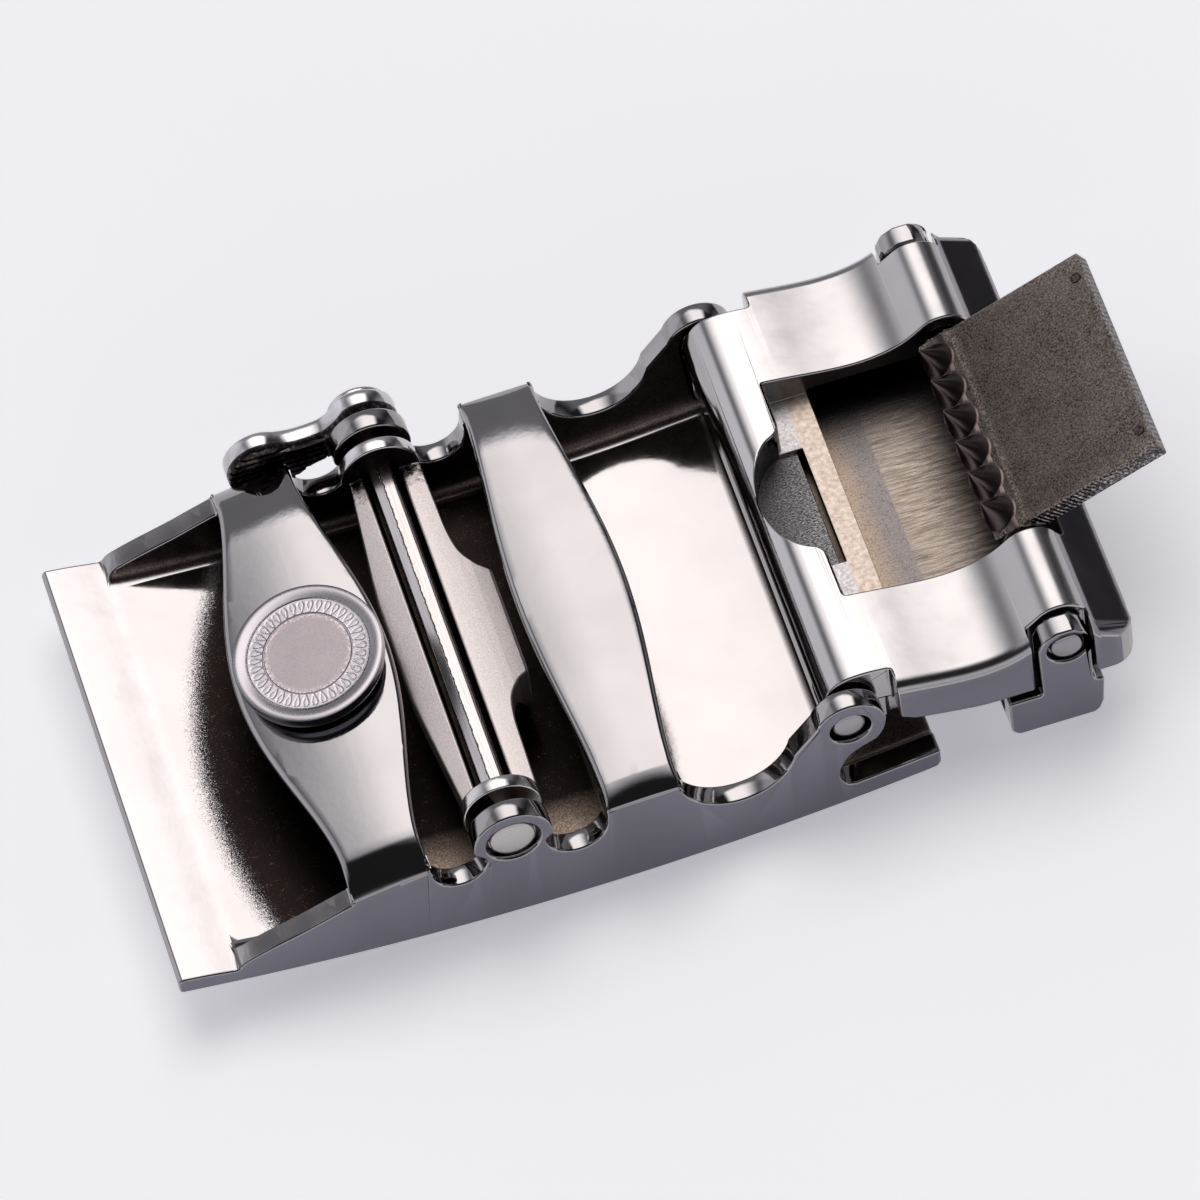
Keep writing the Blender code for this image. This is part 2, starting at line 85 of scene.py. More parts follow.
BAR_1 = {
    "ends": (13.8, 19.9),
    "middle": (10.6, 22.5),
    "seat": (4.45, 5.6),
    "height": 7.15,
    "slope": 0.14,
    "crown": 0.6,
    "skew": 0.2,
    "crease": 17.3,
}
BAR_2 = {
    "ends": (33.6, 39.3),
    "middle": (32.4, 40.9),
    "seat": (6.6, 6.8),
    "height": 7.9,
    "slope": 0.04,
    "crown": 0.42,
    "skew": 0.12,
    "crease": 18.0,
}

BAR_THICKNESS = 1.7
SEAT_DROP = 0.15
BAR_BOW = 0.4
BOW_START = 12.5
BAR_EDGE = 0.42
# Places along X where the frame's large faces are split before their edges are rounded
SPLITS = (8, 12.3, 17, 20.9, 23.2, 25.2, 27.6, 29.9, 32.3, 36.4, 40.6, 43.4, 47.3, 50, 51.3, 53.5)
# Sine of the bars' downward turn at the crease and at the wall
SHOULDER = (0.469, 0.848)

DISC_RADII = (5.75, 6.1)
DISC_HEIGHT = 1.3
DISC_X = 16.6
PETALS = 38

SCOOP_CENTRE = (17.4, 17.85, 10.65)
SCOOP_RADIUS = 3.7
SCOOP_LEAN = 30.0

AXLE_RADIUS = 0.9
# Flats along the rod: the way each one faces, in degrees from up, and its distance from the axis
ROD_FLATS = ((8.0, 0.70), (-34.0, 0.74))
CLEARANCE = 0.3
CHANNEL = 1.5
PAWL_HALF_LENGTH = 16.2
COLLAR_RADIUS = 3.05
COLLAR_SPAN = (16.0, 17.15)
TOOTH_HALF_WIDTH = 4.8
AXLE_HEAD_RADIUS = 1.75
HEAD_BORE_DEPTH = 0.8
LEVER_SPAN = (20.4, 22.3)
LEVER_PADDLE = ((18.2, 4.8), 2.8)
LEVER_HUB_RADIUS = 2.75
LEVER_GROOVES = 9
GROOVE_PITCH = 0.58
GROOVE_WIDTH = 0.22

BOX_HALF_WIDTH = 19.9
BOX_END = 74.7
BOX_TOP_ROUND = 1.15
BOX_CORNER_RADIUS = 2.0
BOX_NECK = 17.9
BOX_NECK_END = 56.3
CAVITY_HALF_WIDTH = 17.2
CAVITY = (5.95, 8.6)
WINDOW = (55.1, 72.0)
WINDOW_HALF_WIDTH = 10.45
LEDGE_END = 58.4
LEDGE_SPAN = (7.3, 8.3)
RECESS_FLOOR = 7.9
RECESS_LEFT = 51.75
SLOT_SPAN = (56.15, 56.6)
SLOT_HALF_WIDTH = 5.6
BARREL_RADIUS = 2.4
ARM_SLOT = (66.65, 71.35)
ARM_SLOT_FLOOR = 18.15

KEEPER_SPAN = (18.45, 20.3)
KEEPER_PLATE = (1.3, 2.3)
HINGE_PIN_RADIUS = 0.9
HINGE_HEAD_RADIUS = 1.3
CLAMP_PIN_RADIUS = 1.25

FLAP_SPAN = (-1.68, 12.6)
FLAP_FACES = (0.09, 1.59)
FLAP_HALF_WIDTH = 9.7
FLAP_BOSS_RADIUS = 1.7
FLAP_OPEN_ANGLE = 24.0
TEETH = 6
TOOTH_PITCH = 3.03
TOOTH_RADIUS = 1.45
TOOTH_HEIGHT = 2.15
TOOTH_SETBACK = 1.03
TOOTH_LEAN = 0.45
# The cone's radius share and height over the face, from its foot to its blunt tip
TOOTH_PROFILE = ((0.0, -0.3), (0.0, 0.0), (0.08, 0.16), (0.5, 1.05), (0.93, TOOTH_HEIGHT))
DIMPLE = ((0.36, 1.47), (0.46, 1.9))
DIMPLE_PLACE = (11.6, 7.6)

# Camera in the buckle's own frame: its right, up and backward axes, its place in mm, and its lens
CAMERA_AXES = ((0.95427, -0.28283, -0.09686), (0.28407, 0.7569, 0.58856), (-0.09315, -0.58915, 0.80263))
CAMERA_OFFSET = (36.49778, 13.82931, 820.5284)
CAMERA_LENS = 330.0
SENSOR = 36.0

# Powers of the studio's key light, left cove, back, front card and right card, and its even fill
STUDIO_POWERS = (2.75, 0.75, 0.32, 0.9, 0.3)
STUDIO_FILL = 0.03

# Sockets of Blender's Mix node for colours: share, first, second and result
MIX_INPUTS = (0, 6, 7)
MIX_OUTPUT = 2


def buckle_placement():
    """Matrix from the buckle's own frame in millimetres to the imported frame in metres."""
    turn = Matrix.Rotation(radians(REST_PITCH), 4, "Y")
    axle = next(joint["pos_m"] for joint in frame["joints"] if joint["name"] == "pawl_pivot")
    shift = Vector(axle) - turn @ Vector((PAWL_AXIS[0], 0, PAWL_AXIS[1])) * MM
    return Matrix.Translation(shift) @ turn @ Matrix.Scale(MM, 4)


PLACE = buckle_placement()


# Shape helpers


def held(value):
    """The value, held between 0 and 1."""
    return min(1.0, max(0.0, value))


def face_z(x):
    """Height of the bowed face plate's outer side."""
    half = FRAME_LENGTH / 2
    radius = (half**2 + FACE_SAG**2) / (2 * FACE_SAG)
    return radius - FACE_SAG - sqrt(radius**2 - (x - half) ** 2)


def plate_top(x):
    """Height of the face plate's inner side, which thickens a little towards its left rim."""
    share = held((6.5 - x) / 5.3)
    return face_z(x) + PLATE_THICKNESS + (PLATE_EDGE - PLATE_THICKNESS) * share**2 * (3 - 2 * share)


def spread(start, end, steps):
    return [start + (end - start) * i / steps for i in range(steps + 1)]


def arc(centre, radius, start, end, steps):
    angles = [radians(a) for a in spread(start, end, steps)]
    return [(centre[0] + radius * cos(a), centre[1] + radius * sin(a)) for a in angles]


def smooth_line(points, per=5):
    """A smooth line through the points, with per steps between each two."""
    ends = [points[0]] + list(points) + [points[-1]]
    line = []
    for p0, p1, p2, p3 in zip(ends, ends[1:], ends[2:], ends[3:]):
        for i in range(per):
            t = i / per
            place = []
            for a, b, c, d in zip(p0, p1, p2, p3):
                bends = (2 * a - 5 * b + 4 * c - d) * t**2 + (3 * b - a - 3 * c + d) * t**3
                place.append(0.5 * (2 * b + (c - a) * t + bends))
            line.append(tuple(place))
    return line + [tuple(points[-1])]


def evened(points, count):
    """The line with its points at even distances and its bends smoothed out."""
    lengths = [0.0]
    for (x0, z0), (x1, z1) in zip(points, points[1:]):
        lengths.append(lengths[-1] + hypot(x1 - x0, z1 - z0))
    line = []
    index = 0
    for place in spread(0, lengths[-1], count):
        while index < len(points) - 2 and lengths[index + 1] < place:
            index += 1
        share = (place - lengths[index]) / (lengths[index + 1] - lengths[index])
        line.append(tuple(a + (b - a) * share for a, b in zip(points[index], points[index + 1])))
    for _ in range(EVENING_PASSES):
        threes = zip(line, line[1:], line[2:])
        inner = [tuple((a + 2 * b + c) / 4 for a, b, c in zip(*three)) for three in threes]
        line = [line[0]] + inner + [line[-1]]
    return line


def mesh_object(name, bm):
    bmesh.ops.recalc_face_normals(bm, faces=bm.faces)
    mesh = bpy.data.meshes.new(name)
    bm.to_mesh(mesh)
    bm.free()
    item = bpy.data.objects.new(name, mesh)
    bpy.context.scene.collection.objects.link(item)
    return item


def loft(name, rings):
    bm = bmesh.new()
    loops = [[bm.verts.new(point) for point in ring] for ring in rings]
    for first, second in zip(loops, loops[1:]):
        for i in range(len(first)):
            j = (i + 1) % len(first)
            bm.faces.new((first[i], first[j], second[j], second[i]))
    bm.faces.new(loops[0])
    bm.faces.new(reversed(loops[-1]))
    return mesh_object(name, bm)


def prism_y(name, outline, low, high):
    return loft(name, [[(x, y, z) for x, z in outline] for y in (low, high)])


def prism_z(name, outline, low, high):
    return loft(name, [[(x, y, z) for x, y in outline] for z in (low, high)])


def mirrored_loft(name, rings):
    """Loft through rings at falling distances from the middle, and through their mirror images."""
    rings = [(-y, ring) for y, ring in rings] + rings[::-1]
    return loft(name, [[(x, y, z) for x, z in ring] for y, ring in rings])


def block(name, x_span, y_span, z_span):
    (left, right), (low, high) = x_span, z_span
    return prism_y(name, [(left, low), (right, low), (right, high), (left, high)], *y_span)


def round_y(name, centre, sections, steps=72):
    rings = []
    for y, radius in sections:
        rings.append([(x, y, z) for x, z in arc(centre, radius, 0, 360, steps)[:-1]])
    return loft(name, rings)


def ring_z(centre, radius, z, steps):
    turns = spread(0, 2 * pi, steps)[:-1]
    return [(centre[0] + radius * cos(a), centre[1] + radius * sin(a), z) for a in turns]


def bore_y(name, centre, span, pin_radius):
    """Cutter for a bore along Y that leaves the usual clearance round a pin."""
    return round_y(name, centre, [(y, pin_radius + CLEARANCE) for y in span])


def combine(base, others, operation):
    for other in others:
        step = base.modifiers.new(operation.lower(), "BOOLEAN")
        step.operation = operation
        step.solver = "EXACT"
        step.object = other
        graph = bpy.context.evaluated_depsgraph_get()
        result = bpy.data.meshes.new_from_object(base.evaluated_get(graph))
        base.modifiers.remove(step)
        base.data = result
        bpy.data.objects.remove(other, do_unlink=True)
    return base


def side_span(side, span):
    return sorted(side * distance for distance in span)


def apply_modifiers(item):
    graph = bpy.context.evaluated_depsgraph_get()
    result = bpy.data.meshes.new_from_object(item.evaluated_get(graph))
    item.modifiers.clear()
    item.data = result


def tidy_mesh(item):
    """Merges stray points and joins coplanar faces that the Booleans split."""
    bm = bmesh.new()
    bm.from_mesh(item.data)
    bmesh.ops.remove_doubles(bm, verts=bm.verts, dist=MERGE_DISTANCE)
    bmesh.ops.dissolve_limit(bm, angle_limit=radians(FLAT_ANGLE), verts=bm.verts, edges=bm.edges)
    bmesh.ops.recalc_face_normals(bm, faces=bm.faces)
    bm.to_mesh(item.data)
    bm.free()


def soften(item, width, weigh=None, segments=3, splits=()):
    """Rounds every sharp edge by a small width, or by the share of it that weigh gives for a place.

    Large faces with notches in them are first split at the given places along X. Points that the
    rounding throws off the surface are put back on it.
    """
    tidy_mesh(item)
    bm = bmesh.new()
    bm.from_mesh(item.data)
    for x in splits:
        everything = bm.verts[:] + bm.edges[:] + bm.faces[:]
        bmesh.ops.bisect_plane(bm, geom=everything, dist=0.0001, plane_co=(x, 0, 0), plane_no=(1, 0, 0))
    before = BVHTree.FromBMesh(bm)
    weights = bm.edges.layers.float.new("bevel_weight_edge")
    for edge in bm.edges:
        if edge.calc_face_angle(0.0) > radians(EDGE_ANGLE):
            middle = (edge.verts[0].co + edge.verts[1].co) / 2
            edge[weights] = weigh(middle) if weigh else 1.0
    bm.to_mesh(item.data)
    bm.free()
    step = item.modifiers.new("edges", "BEVEL")
    step.width = width
    step.segments = segments
    step.limit_method = "WEIGHT"
    step.miter_outer = "MITER_ARC"
    step.use_clamp_overlap = False
    apply_modifiers(item)
    for vertex in item.data.vertices:
        nearest, _, _, off = before.find_nearest(vertex.co)
        if off > STRAY_SHARE * width:
            vertex.co = nearest
    return item


def mark_wear(item):
    """Stores on each vertex how strongly the surface bends there, for wear on edges."""
    bm = bmesh.new()
    bm.from_mesh(item.data)
    bends = [0.0] * len(bm.verts)
    for edge in bm.edges:
        bend = edge.calc_face_angle_signed(0.0)
        share = held((degrees(bend) - WEAR_START) / WEAR_RANGE)
        for vertex in edge.verts:
            bends[vertex.index] = max(bends[vertex.index], share)
    bm.free()
    layer = item.data.attributes.new("wear", "FLOAT", "POINT")
    layer.data.foreach_set("value", bends)


def mark_home(item):
    """Stores each vertex's place in the buckle's own frame, in millimetres, for the materials."""
    layer = item.data.attributes.new("home", "FLOAT_VECTOR", "POINT")
    layer.data.foreach_set("vector", [value for vertex in item.data.vertices for value in vertex.co])


def finish_piece(item, body, nodes, materials, choose):
    """Places a piece on its body, in the place of its CAD nodes, with its materials."""
    item.data.materials.clear()
    for each in materials:
        item.data.materials.append(each)
    for face in item.data.polygons:
        face.material_index = choose(face.center, face.normal)
    mark_wear(item)
    mark_home(item)
    item.data.transform(PLACE)
    item.data.shade_smooth()
    item.data.set_sharp_from_angle(angle=radians(SMOOTH_ANGLE))
    weights = item.modifiers.new("weighted", "WEIGHTED_NORMAL")
    weights.keep_sharp = True
    weights.weight = NORMAL_WEIGHT
    apply_modifiers(item)
    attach(item, body)
    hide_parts(*nodes)


def one_zone(centre, normal):
    """For a piece of one material."""
    return 0


# Materials


class Nodes:
    """A small helper that adds nodes to a tree and links them."""

    def __init__(self, tree):
        self.tree = tree

    def feed(self, socket, value):
        """Links a socket to the value, or sets it where the value is a number, a vector or a colour."""
        if isinstance(value, bpy.types.NodeSocket):
            self.tree.links.new(value, socket)
        elif socket.type == "RGBA":
            socket.default_value = (*value, 1.0)
        else:
            socket.default_value = value

    def add(self, kind, values=None, **settings):
        node = self.tree.nodes.new("ShaderNode" + kind)
        for key, value in settings.items():
            setattr(node, key, value)
        for key, value in (values or {}).items():
            self.feed(node.inputs[key], value)
        return node

    def span(self, value, low, high, start=0.0, end=1.0, **settings):
        """The value's way from low to high, as a number from start to end."""
        values = {"Value": value, "From Min": low, "From Max": high, "To Min": start, "To Max": end}
        return self.add("MapRange", values, **settings).outputs["Result"]

    def mix(self, share, first, second):
        node = self.add("Mix", data_type="RGBA")
        sockets = [node.inputs[place] for place in MIX_INPUTS]
        for socket, value in zip(sockets, (share, first, second)):
            self.feed(socket, value)
        return node.outputs[MIX_OUTPUT]

    def math(self, operation, first, second=0.0):
        node = self.add("Math", operation=operation)
        for socket, value in zip(node.inputs, (first, second)):
            self.feed(socket, value)
        return node.outputs["Value"]

    def times(self, first, *others):
        for other in others:
            first = self.math("MULTIPLY", first, other)
        return first

    def plus(self, first, *others):
        for other in others:
            first = self.math("ADD", first, other)
        return first

    def minus(self, first, second):
        return self.math("SUBTRACT", first, second)


class Graph(Nodes):
    """Nodes of a metal's material, which know the surface's place and its worn edges."""

    def __init__(self, name):
        self.material = bpy.data.materials.new(name)
        self.material.use_nodes = True
        super().__init__(self.material.node_tree)
        self.shader = self.tree.nodes["Principled BSDF"]
        self.shader.inputs["Metallic"].default_value = 1.0
        self.home = self.add("Attribute", attribute_name="home").outputs["Vector"]

    def grain(self, scale, detail=2.0, roughness=0.5, turn=0):
        """Noise with features about 1/scale millimetres wide along each axis, turned about Z."""
        scale = scale if isinstance(scale, tuple) else (scale,) * 3
        values = {"Vector": self.home, "Scale": scale, "Rotation": (0, 0, radians(turn))}
        place = self.add("Mapping", values).outputs["Vector"]
        values = {"Vector": place, "Scale": 1.0, "Detail": detail, "Roughness": roughness}
        return self.add("TexNoise", values).outputs["Fac"]

    def along(self, axis):
        """Place along X, Y or Z in millimetres."""
        return self.add("SeparateXYZ", {"Vector": self.home}).outputs[axis]

    def wear(self):
        return self.add("Attribute", attribute_name="wear").outputs["Fac"]

    def flecked_wear(self, scale):
        """Wear on the edges, broken up into flecks."""
        return self.times(self.wear(), self.span(self.grain(scale, 3.0, 0.7), 0.48, 0.6))

    def stray(self, reach, *grain):
        """Noise from about minus to plus half the reach."""
        return self.times(self.minus(self.grain(*grain), 0.5), reach)

    def bump(self, height, depth, under=None):
        """A bump of height times depth millimetres, over an earlier bump."""
        values = {"Height": height, "Distance": depth * MM, "Strength": 1.0}
        if under is not None:
            values["Normal"] = under
        return self.add("Bump", values).outputs["Normal"]

    def done(self, colour, roughness, normal=None):
        for name, value in (("Base Color", colour), ("Roughness", roughness), ("Normal", normal)):
            if value is not None:
                self.feed(self.shader.inputs[name], value)
        return self.material


def plate_parts(g, light, dark, rough, orange_peel):
    """Tone, roughness and normal of polished plate: faintly uneven, with smudges, hairlines, worn edges."""
    tone = g.mix(g.span(g.grain(0.12, 3.0), 0.35, 0.65), dark, light)
    worn = tuple(min(1.0, each * 1.3 + 0.03) for each in light)
    tone = g.mix(g.times(g.wear(), 0.45), tone, worn)
    hairs = g.span(g.grain((0.5, 14.0, 14.0), 3.0, 0.6, turn=12), 0.62, 0.74)
    smudge = g.span(g.grain(0.45, 4.0), 0.45, 0.75, 0.0, 0.05)
    roughness = g.plus(smudge, rough, g.times(hairs, 0.05))
    normal = g.bump(g.grain(1.6, 2.0), orange_peel * 2.5)
    normal = g.bump(g.grain(9.0, 2.0), orange_peel * 0.25, under=normal)
    return tone, roughness, normal


def polished(name, light, dark, rough=0.07, orange_peel=0.0016):
    g = Graph(name)
    return g.done(*plate_parts(g, light, dark, rough, orange_peel))


def sleeve_plate(name):
    """Polished plate of the sleeve, glossier on its nose than on its dished top."""
    g = Graph(name)
    tone, roughness, normal = plate_parts(g, (0.40, 0.385, 0.385), (0.38, 0.365, 0.365), 0.09, 0.0012)
    roughness = g.plus(roughness, g.span(g.along("X"), 54.0, 58.5, 0.0, 0.12))
    return g.done(tone, roughness, normal)


def cast_tone(g, light, dark, size, lights):
    """Tone and grain of rough casting under plate: dark, pitted and flecked with light."""
    fine = g.grain(size, 4.0, 0.65)
    patch = g.grain(size * 0.12, 3.0)
    value = g.plus(g.times(fine, 0.75), g.times(patch, 0.25))
    return g.mix(g.span(value, *lights), dark, light), fine


def speckled(name, light, dark, size, rough, depth, lights=(0.5, 0.7)):
    """Rough casting, the same all over."""
    g = Graph(name)
    tone, fine = cast_tone(g, light, dark, size, lights)
    return g.done(tone, rough, g.bump(fine, depth))


def plate_floor(name):
    """Inside of the face plate: polished where a wheel reaches, rough and brown under the bars, with a
    painted patch of light below the near notches and dark casting under the clamp box as painted shade.
    """
    g = Graph(name)
    tone, roughness, normal = plate_parts(g, (0.38, 0.36, 0.36), (0.36, 0.34, 0.342), 0.09, 0.0016)
    cast, fine = cast_tone(g, (0.22, 0.17, 0.14), (0.012, 0.009, 0.008), 8.0, (0.58, 0.8))
    x, y = g.along("X"), g.along("Y")
    # Painted light: a lighter, warmer copy of the casting below the near notches, where light comes in
    # through them.
    sunlit = g.mix(g.span(fine, 0.4, 0.7), (0.12, 0.088, 0.07), (0.40, 0.32, 0.26))
    notch_light = g.times(g.span(y, -12.0, -15.0), g.span(x, 18.6, 19.6))
    cast = g.mix(notch_light, cast, sunlit)
    bend = g.math("POWER", g.times(g.plus(y, 5.5), 1 / 9), 2.0)
    edge = g.minus(g.minus(x, 6.6), bend)
    grit = g.stray(7.0, 13.0, 3.0, 0.8)
    left = g.span(g.plus(edge, grit), 0.0, 0.25)
    right = g.span(x, 35.0, 34.0)
    aside = g.times(g.math("ABSOLUTE", g.minus(y, 5.5)), 0.45)
    gap = g.plus(g.math("ABSOLUTE", g.minus(x, 30.2)), aside)
    closed = g.span(g.plus(gap, g.times(grit, 0.2)), 1.3, 2.1)
    # Past x 51.6, under the clamp box, the dark casting is painted shade.
    share = g.math("MAXIMUM", g.times(left, right, closed), g.span(x, 51.0, 51.6))
    rough = g.plus(g.times(share, 0.22), roughness)
    normal = g.bump(g.times(fine, share), 0.02, under=normal)
    return g.done(g.mix(share, tone, cast), rough, normal)


def satin(name, light, dark, rough, scale, streaks, depth, lights=(0.35, 0.65)):
    """Blasted or brushed plate with a fine even grain, stretched along the brushing."""
    g = Graph(name)
    fine = g.grain(tuple(scale * each for each in streaks), 3.0, 0.7)
    value = g.plus(g.times(fine, 0.84), g.times(g.grain(0.35, 3.0), 0.16))
    tone = g.mix(g.span(value, *lights), dark, light)
    tone = g.mix(g.flecked_wear(6.0), tone, tuple(min(1.0, each * 1.8) for each in light))
    roughness = g.span(fine, 0.3, 0.7, rough - 0.06, rough + 0.06)
    return g.done(tone, roughness, g.bump(fine, depth))


def tongue_satin(name):
    """Finely blasted tongue, with a smeared dark casting skin at its far end."""
    g = Graph(name)
    fine = g.grain(9.0, 3.0, 0.7)
    tone = g.mix(g.span(fine, 0.36, 0.64), (0.46, 0.415, 0.405), (0.62, 0.565, 0.555))
    far = g.plus(g.along("Y"), g.stray(7.0, 1.1, 4.0, 0.7))
    smear = g.span(far, 14.2, 15.6)
    skin = g.mix(g.span(g.grain(4.0, 4.0, 0.7), 0.5, 0.68), (0.05, 0.04, 0.04), (0.45, 0.41, 0.41))
    tone = g.mix(smear, tone, skin)
    return g.done(tone, g.span(smear, 0.0, 1.0, 0.33, 0.22), g.bump(fine, 0.02))


def rod_plate(name):
    """Drawn rod with a fine uneven seam along its crown."""
    g = Graph(name)
    tone = g.mix(g.span(g.grain((9.0, 0.25, 9.0), 3.0), 0.35, 0.65), (0.44, 0.41, 0.405), (0.53, 0.50, 0.49))
    wander = g.stray(0.3, 1.8, 3.0, 0.6)
    offset = g.math("ABSOLUTE", g.plus(g.minus(g.along("X"), PAWL_AXIS[0] - 0.2), wander))
    crown = g.span(g.along("Z"), PAWL_AXIS[1], PAWL_AXIS[1] + 0.2)
    along = g.span(g.math("ABSOLUTE", g.along("Y")), 17.0, 16.5)
    seam = g.times(g.span(offset, 0.06, 0.03), crown, along)
    tone = g.mix(seam, tone, (0.05, 0.04, 0.035))
    normal = g.bump(g.times(seam, -1.0), 0.03, under=g.bump(g.grain((9.0, 0.3, 9.0), 2.0), 0.003))
    return g.done(tone, 0.24, normal)


def ledge_plate(name):
    """Stepped ledge in the window: silvery and rough behind the slot, warm in front of it."""
    g = Graph(name)
    fine = g.grain(5.0, 4.0, 0.7)
    grey = g.mix(g.span(fine, 0.35, 0.65), (0.36, 0.335, 0.335), (0.70, 0.67, 0.67))
    warm = g.mix(g.span(g.grain(2.4, 4.0, 0.6), 0.35, 0.65), (0.44, 0.36, 0.30), (0.68, 0.57, 0.49))
    tone = g.mix(g.span(g.along("X"), 56.45, 56.75), grey, warm)
    return g.done(tone, 0.4, g.bump(fine, 0.03))


def ribbed_edge(name):
    """Sawn sides of the flap, with fine slanting ribs."""
    g = Graph(name)
    place = g.plus(g.along("X"), g.along("Y"), g.along("Z"))
    wobble = g.times(g.grain(1.5, 3.0), 6.0)
    ribs = g.math("SINE", g.plus(g.times(place, 13.0), wobble))
    tone = g.mix(g.span(ribs, -0.8, 0.9), (0.024, 0.021, 0.026), (0.08, 0.072, 0.083))
    tone = g.mix(g.flecked_wear(5.0), tone, (0.5, 0.45, 0.42))
    return g.done(tone, 0.32, g.bump(ribs, 0.03))


def cavity_floor(name):
    """Floor of the strap's way: a cast strip that greys from brown, then plate brushed along the belt."""
    g = Graph(name)
    brush = g.grain((0.55, 7.0, 7.0), 4.0, 0.7)
    pits = g.grain(8.0, 4.0, 0.7)
    x = g.along("X")
    brown = g.mix(g.span(pits, 0.3, 0.5), (0.10, 0.07, 0.05), (0.32, 0.245, 0.185))
    pink = g.mix(g.span(pits, 0.3, 0.5), (0.08, 0.068, 0.065), (0.21, 0.185, 0.18))
    light = g.mix(g.span(brush, 0.3, 0.68), (0.10, 0.08, 0.065), (0.40, 0.34, 0.29))
    tone = g.mix(g.span(x, 58.8, 60.6), brown, pink)
    tone = g.mix(g.span(x, 61.7, 61.9), tone, light)
    streak = g.stray(8.0, (0.4, 3.0, 3.0), 3.0)
    shade = g.times(g.span(g.along("Y"), 9.5, 3.5), g.span(g.plus(x, streak), 69.5, 64.0))
    tone = g.mix(shade, (0.05, 0.044, 0.044), tone)
    return g.done(tone, 0.3, g.bump(brush, 0.02, under=g.bump(pits, 0.02)))


def hammered_floor(name):
    """Floor of the finger recess: hammered, dark at the left and lighter towards the slot."""
    g = Graph(name)
    fine = g.grain((5.0, 9.0, 9.0), 3.0, 0.6, turn=30)
    lit = g.span(g.plus(g.along("X"), g.times(g.along("Y"), -0.22)), 51.6, 56.0, 0.12, 1.0)
    tone = g.mix(g.times(g.span(fine, 0.36, 0.68), lit), (0.03, 0.03, 0.031), (0.30, 0.29, 0.30))
    return g.done(tone, 0.27, g.bump(fine, 0.05))


# The frame


def wall_outline():
    points = [(x, face_z(x)) for x in spread(0, FRAME_LENGTH, 80)]
    points += [(TAIL_END, 0.5), (TAIL_END, 1.85), (52.3, 0.95)]
    throat = [(51.75, 1.1), (51.5, 1.4), (51.2, 2.3), (51.4, 3.3), (52.1, 4.5), (53.2, 5.2)]
    points += smooth_line(throat, 4)
    points += arc(CLAMP_AXIS, CLAMP_EAR_RADIUS, -50, 160, 60)
    points += arc(*SCALLOP, -14, -160, 56)
    for end in (1, 0):
        points.append((BAR_2["ends"][end], BAR_2["seat"][end] - SEAT_DROP))
    points += arc(*NOTCH_2, 0, -180, 40)
    points += arc(PAWL_AXIS, PAWL_EAR_RADIUS, -8, 188, 60)
    points += arc(*NOTCH_1, 0, -180, 40)
    points += [(BAR_1["ends"][1], BAR_1["seat"][1] - SEAT_DROP)]
    rise = [(BAR_1["ends"][0] - 0.3, BAR_1["seat"][0] - SEAT_DROP), (12.0, 3.75), (10.0, 3.0)]
    rise += [(7.2, 2.1), (5.2, 1.3), (LEDGE_LENGTH, plate_top(LEDGE_LENGTH))]
    points += smooth_line(rise, 5)
    points += [(x, plate_top(x)) for x in (4.0, 3.4, 2.8, 2.2, 1.6, 1.0, 0.4)]
    points += [(0.12, plate_top(0) - 0.12), (0.0, PLATE_EDGE - 0.4)]
    return points


def bar_ring(bar, y):
    """Section of a bridge bar at y, with a crowned, round-edged top over a flat underside."""
    half, crease, slope = FRAME_WIDTH / 2, bar["crease"], bar["slope"]
    bulge = cos(min(abs(y) / crease, 1) * pi / 2) ** 1.5
    left, right = (end + (mid - end) * bulge for end, mid in zip(bar["ends"], bar["middle"]))
    middle = sum(bar["ends"]) / 2
    fold = max(0.0, abs(y) - crease) / (half - crease)
    turned = asin(min(SHOULDER[1], SHOULDER[0] + (SHOULDER[1] - SHOULDER[0]) * fold))
    start, end = (sqrt(1 - sine**2) for sine in SHOULDER)
    drop = (start - cos(turned)) / (start - end)
    out = max(0.0, min(abs(y), crease) - BOW_START) / (crease - BOW_START)
    bow = BAR_BOW * out**2 - 0.08
    deepen = held((abs(y) - 13.5) / 4)
    flare = ((right - left) / (bar["middle"][1] - bar["middle"][0])) ** 2
    insets = [BAR_EDGE * (1 - cos(radians(a))) for a in (0, 18, 36, 54, 72, 90)]
    places = [left + d for d in insets] + spread(left + BAR_EDGE, right - BAR_EDGE, 16)[1:-1]
    places += [right - d for d in insets[::-1]]
    top = []
    for x in places:
        t = (2 * x - left - right) / (right - left)
        inset = BAR_EDGE - min(BAR_EDGE, (1 - abs(t)) * (right - left) / 2)
        rim = BAR_EDGE - sqrt(max(0.0, BAR_EDGE**2 - inset**2))
        bend = bar["crown"] * (0.5 - t * t) + bar["skew"] * (t - t**3)
        z = bar["height"] + slope * (x - middle) + bend * flare - bow - rim
        share = (x - bar["ends"][0]) / (bar["ends"][1] - bar["ends"][0])
        seat = bar["seat"][0] + (bar["seat"][1] - bar["seat"][0]) * share + 0.01
        top.append((x, y, z + (seat - z) * drop))
    base = bar["height"] - BAR_THICKNESS - 1.3 * deepen
    underside = [(x, y, base + slope * (x - middle)) for x in (right - 0.2, left + 0.2)]
    return top + underside


def bar_solid(name, bar):
    side = spread(FRAME_WIDTH / 2, bar["crease"], 10) + spread(16.5, 0.75, 21)
    stations = [-y for y in side] + [0.0] + side[::-1]
    return loft(name, [bar_ring(bar, y) for y in stations])


def thumb_scoop():
    """A dished cut in the left bar's far shoulder, which leaves room for the lever's paddle."""
    scoop = round_y("scoop", (0, 0), [(-3.0, SCOOP_RADIUS), (6.0, SCOOP_RADIUS)], 96)
    lean = Matrix.Rotation(radians(-SCOOP_LEAN), 4, "X")
    scoop.data.transform(Matrix.Translation(SCOOP_CENTRE) @ lean)
    return scoop


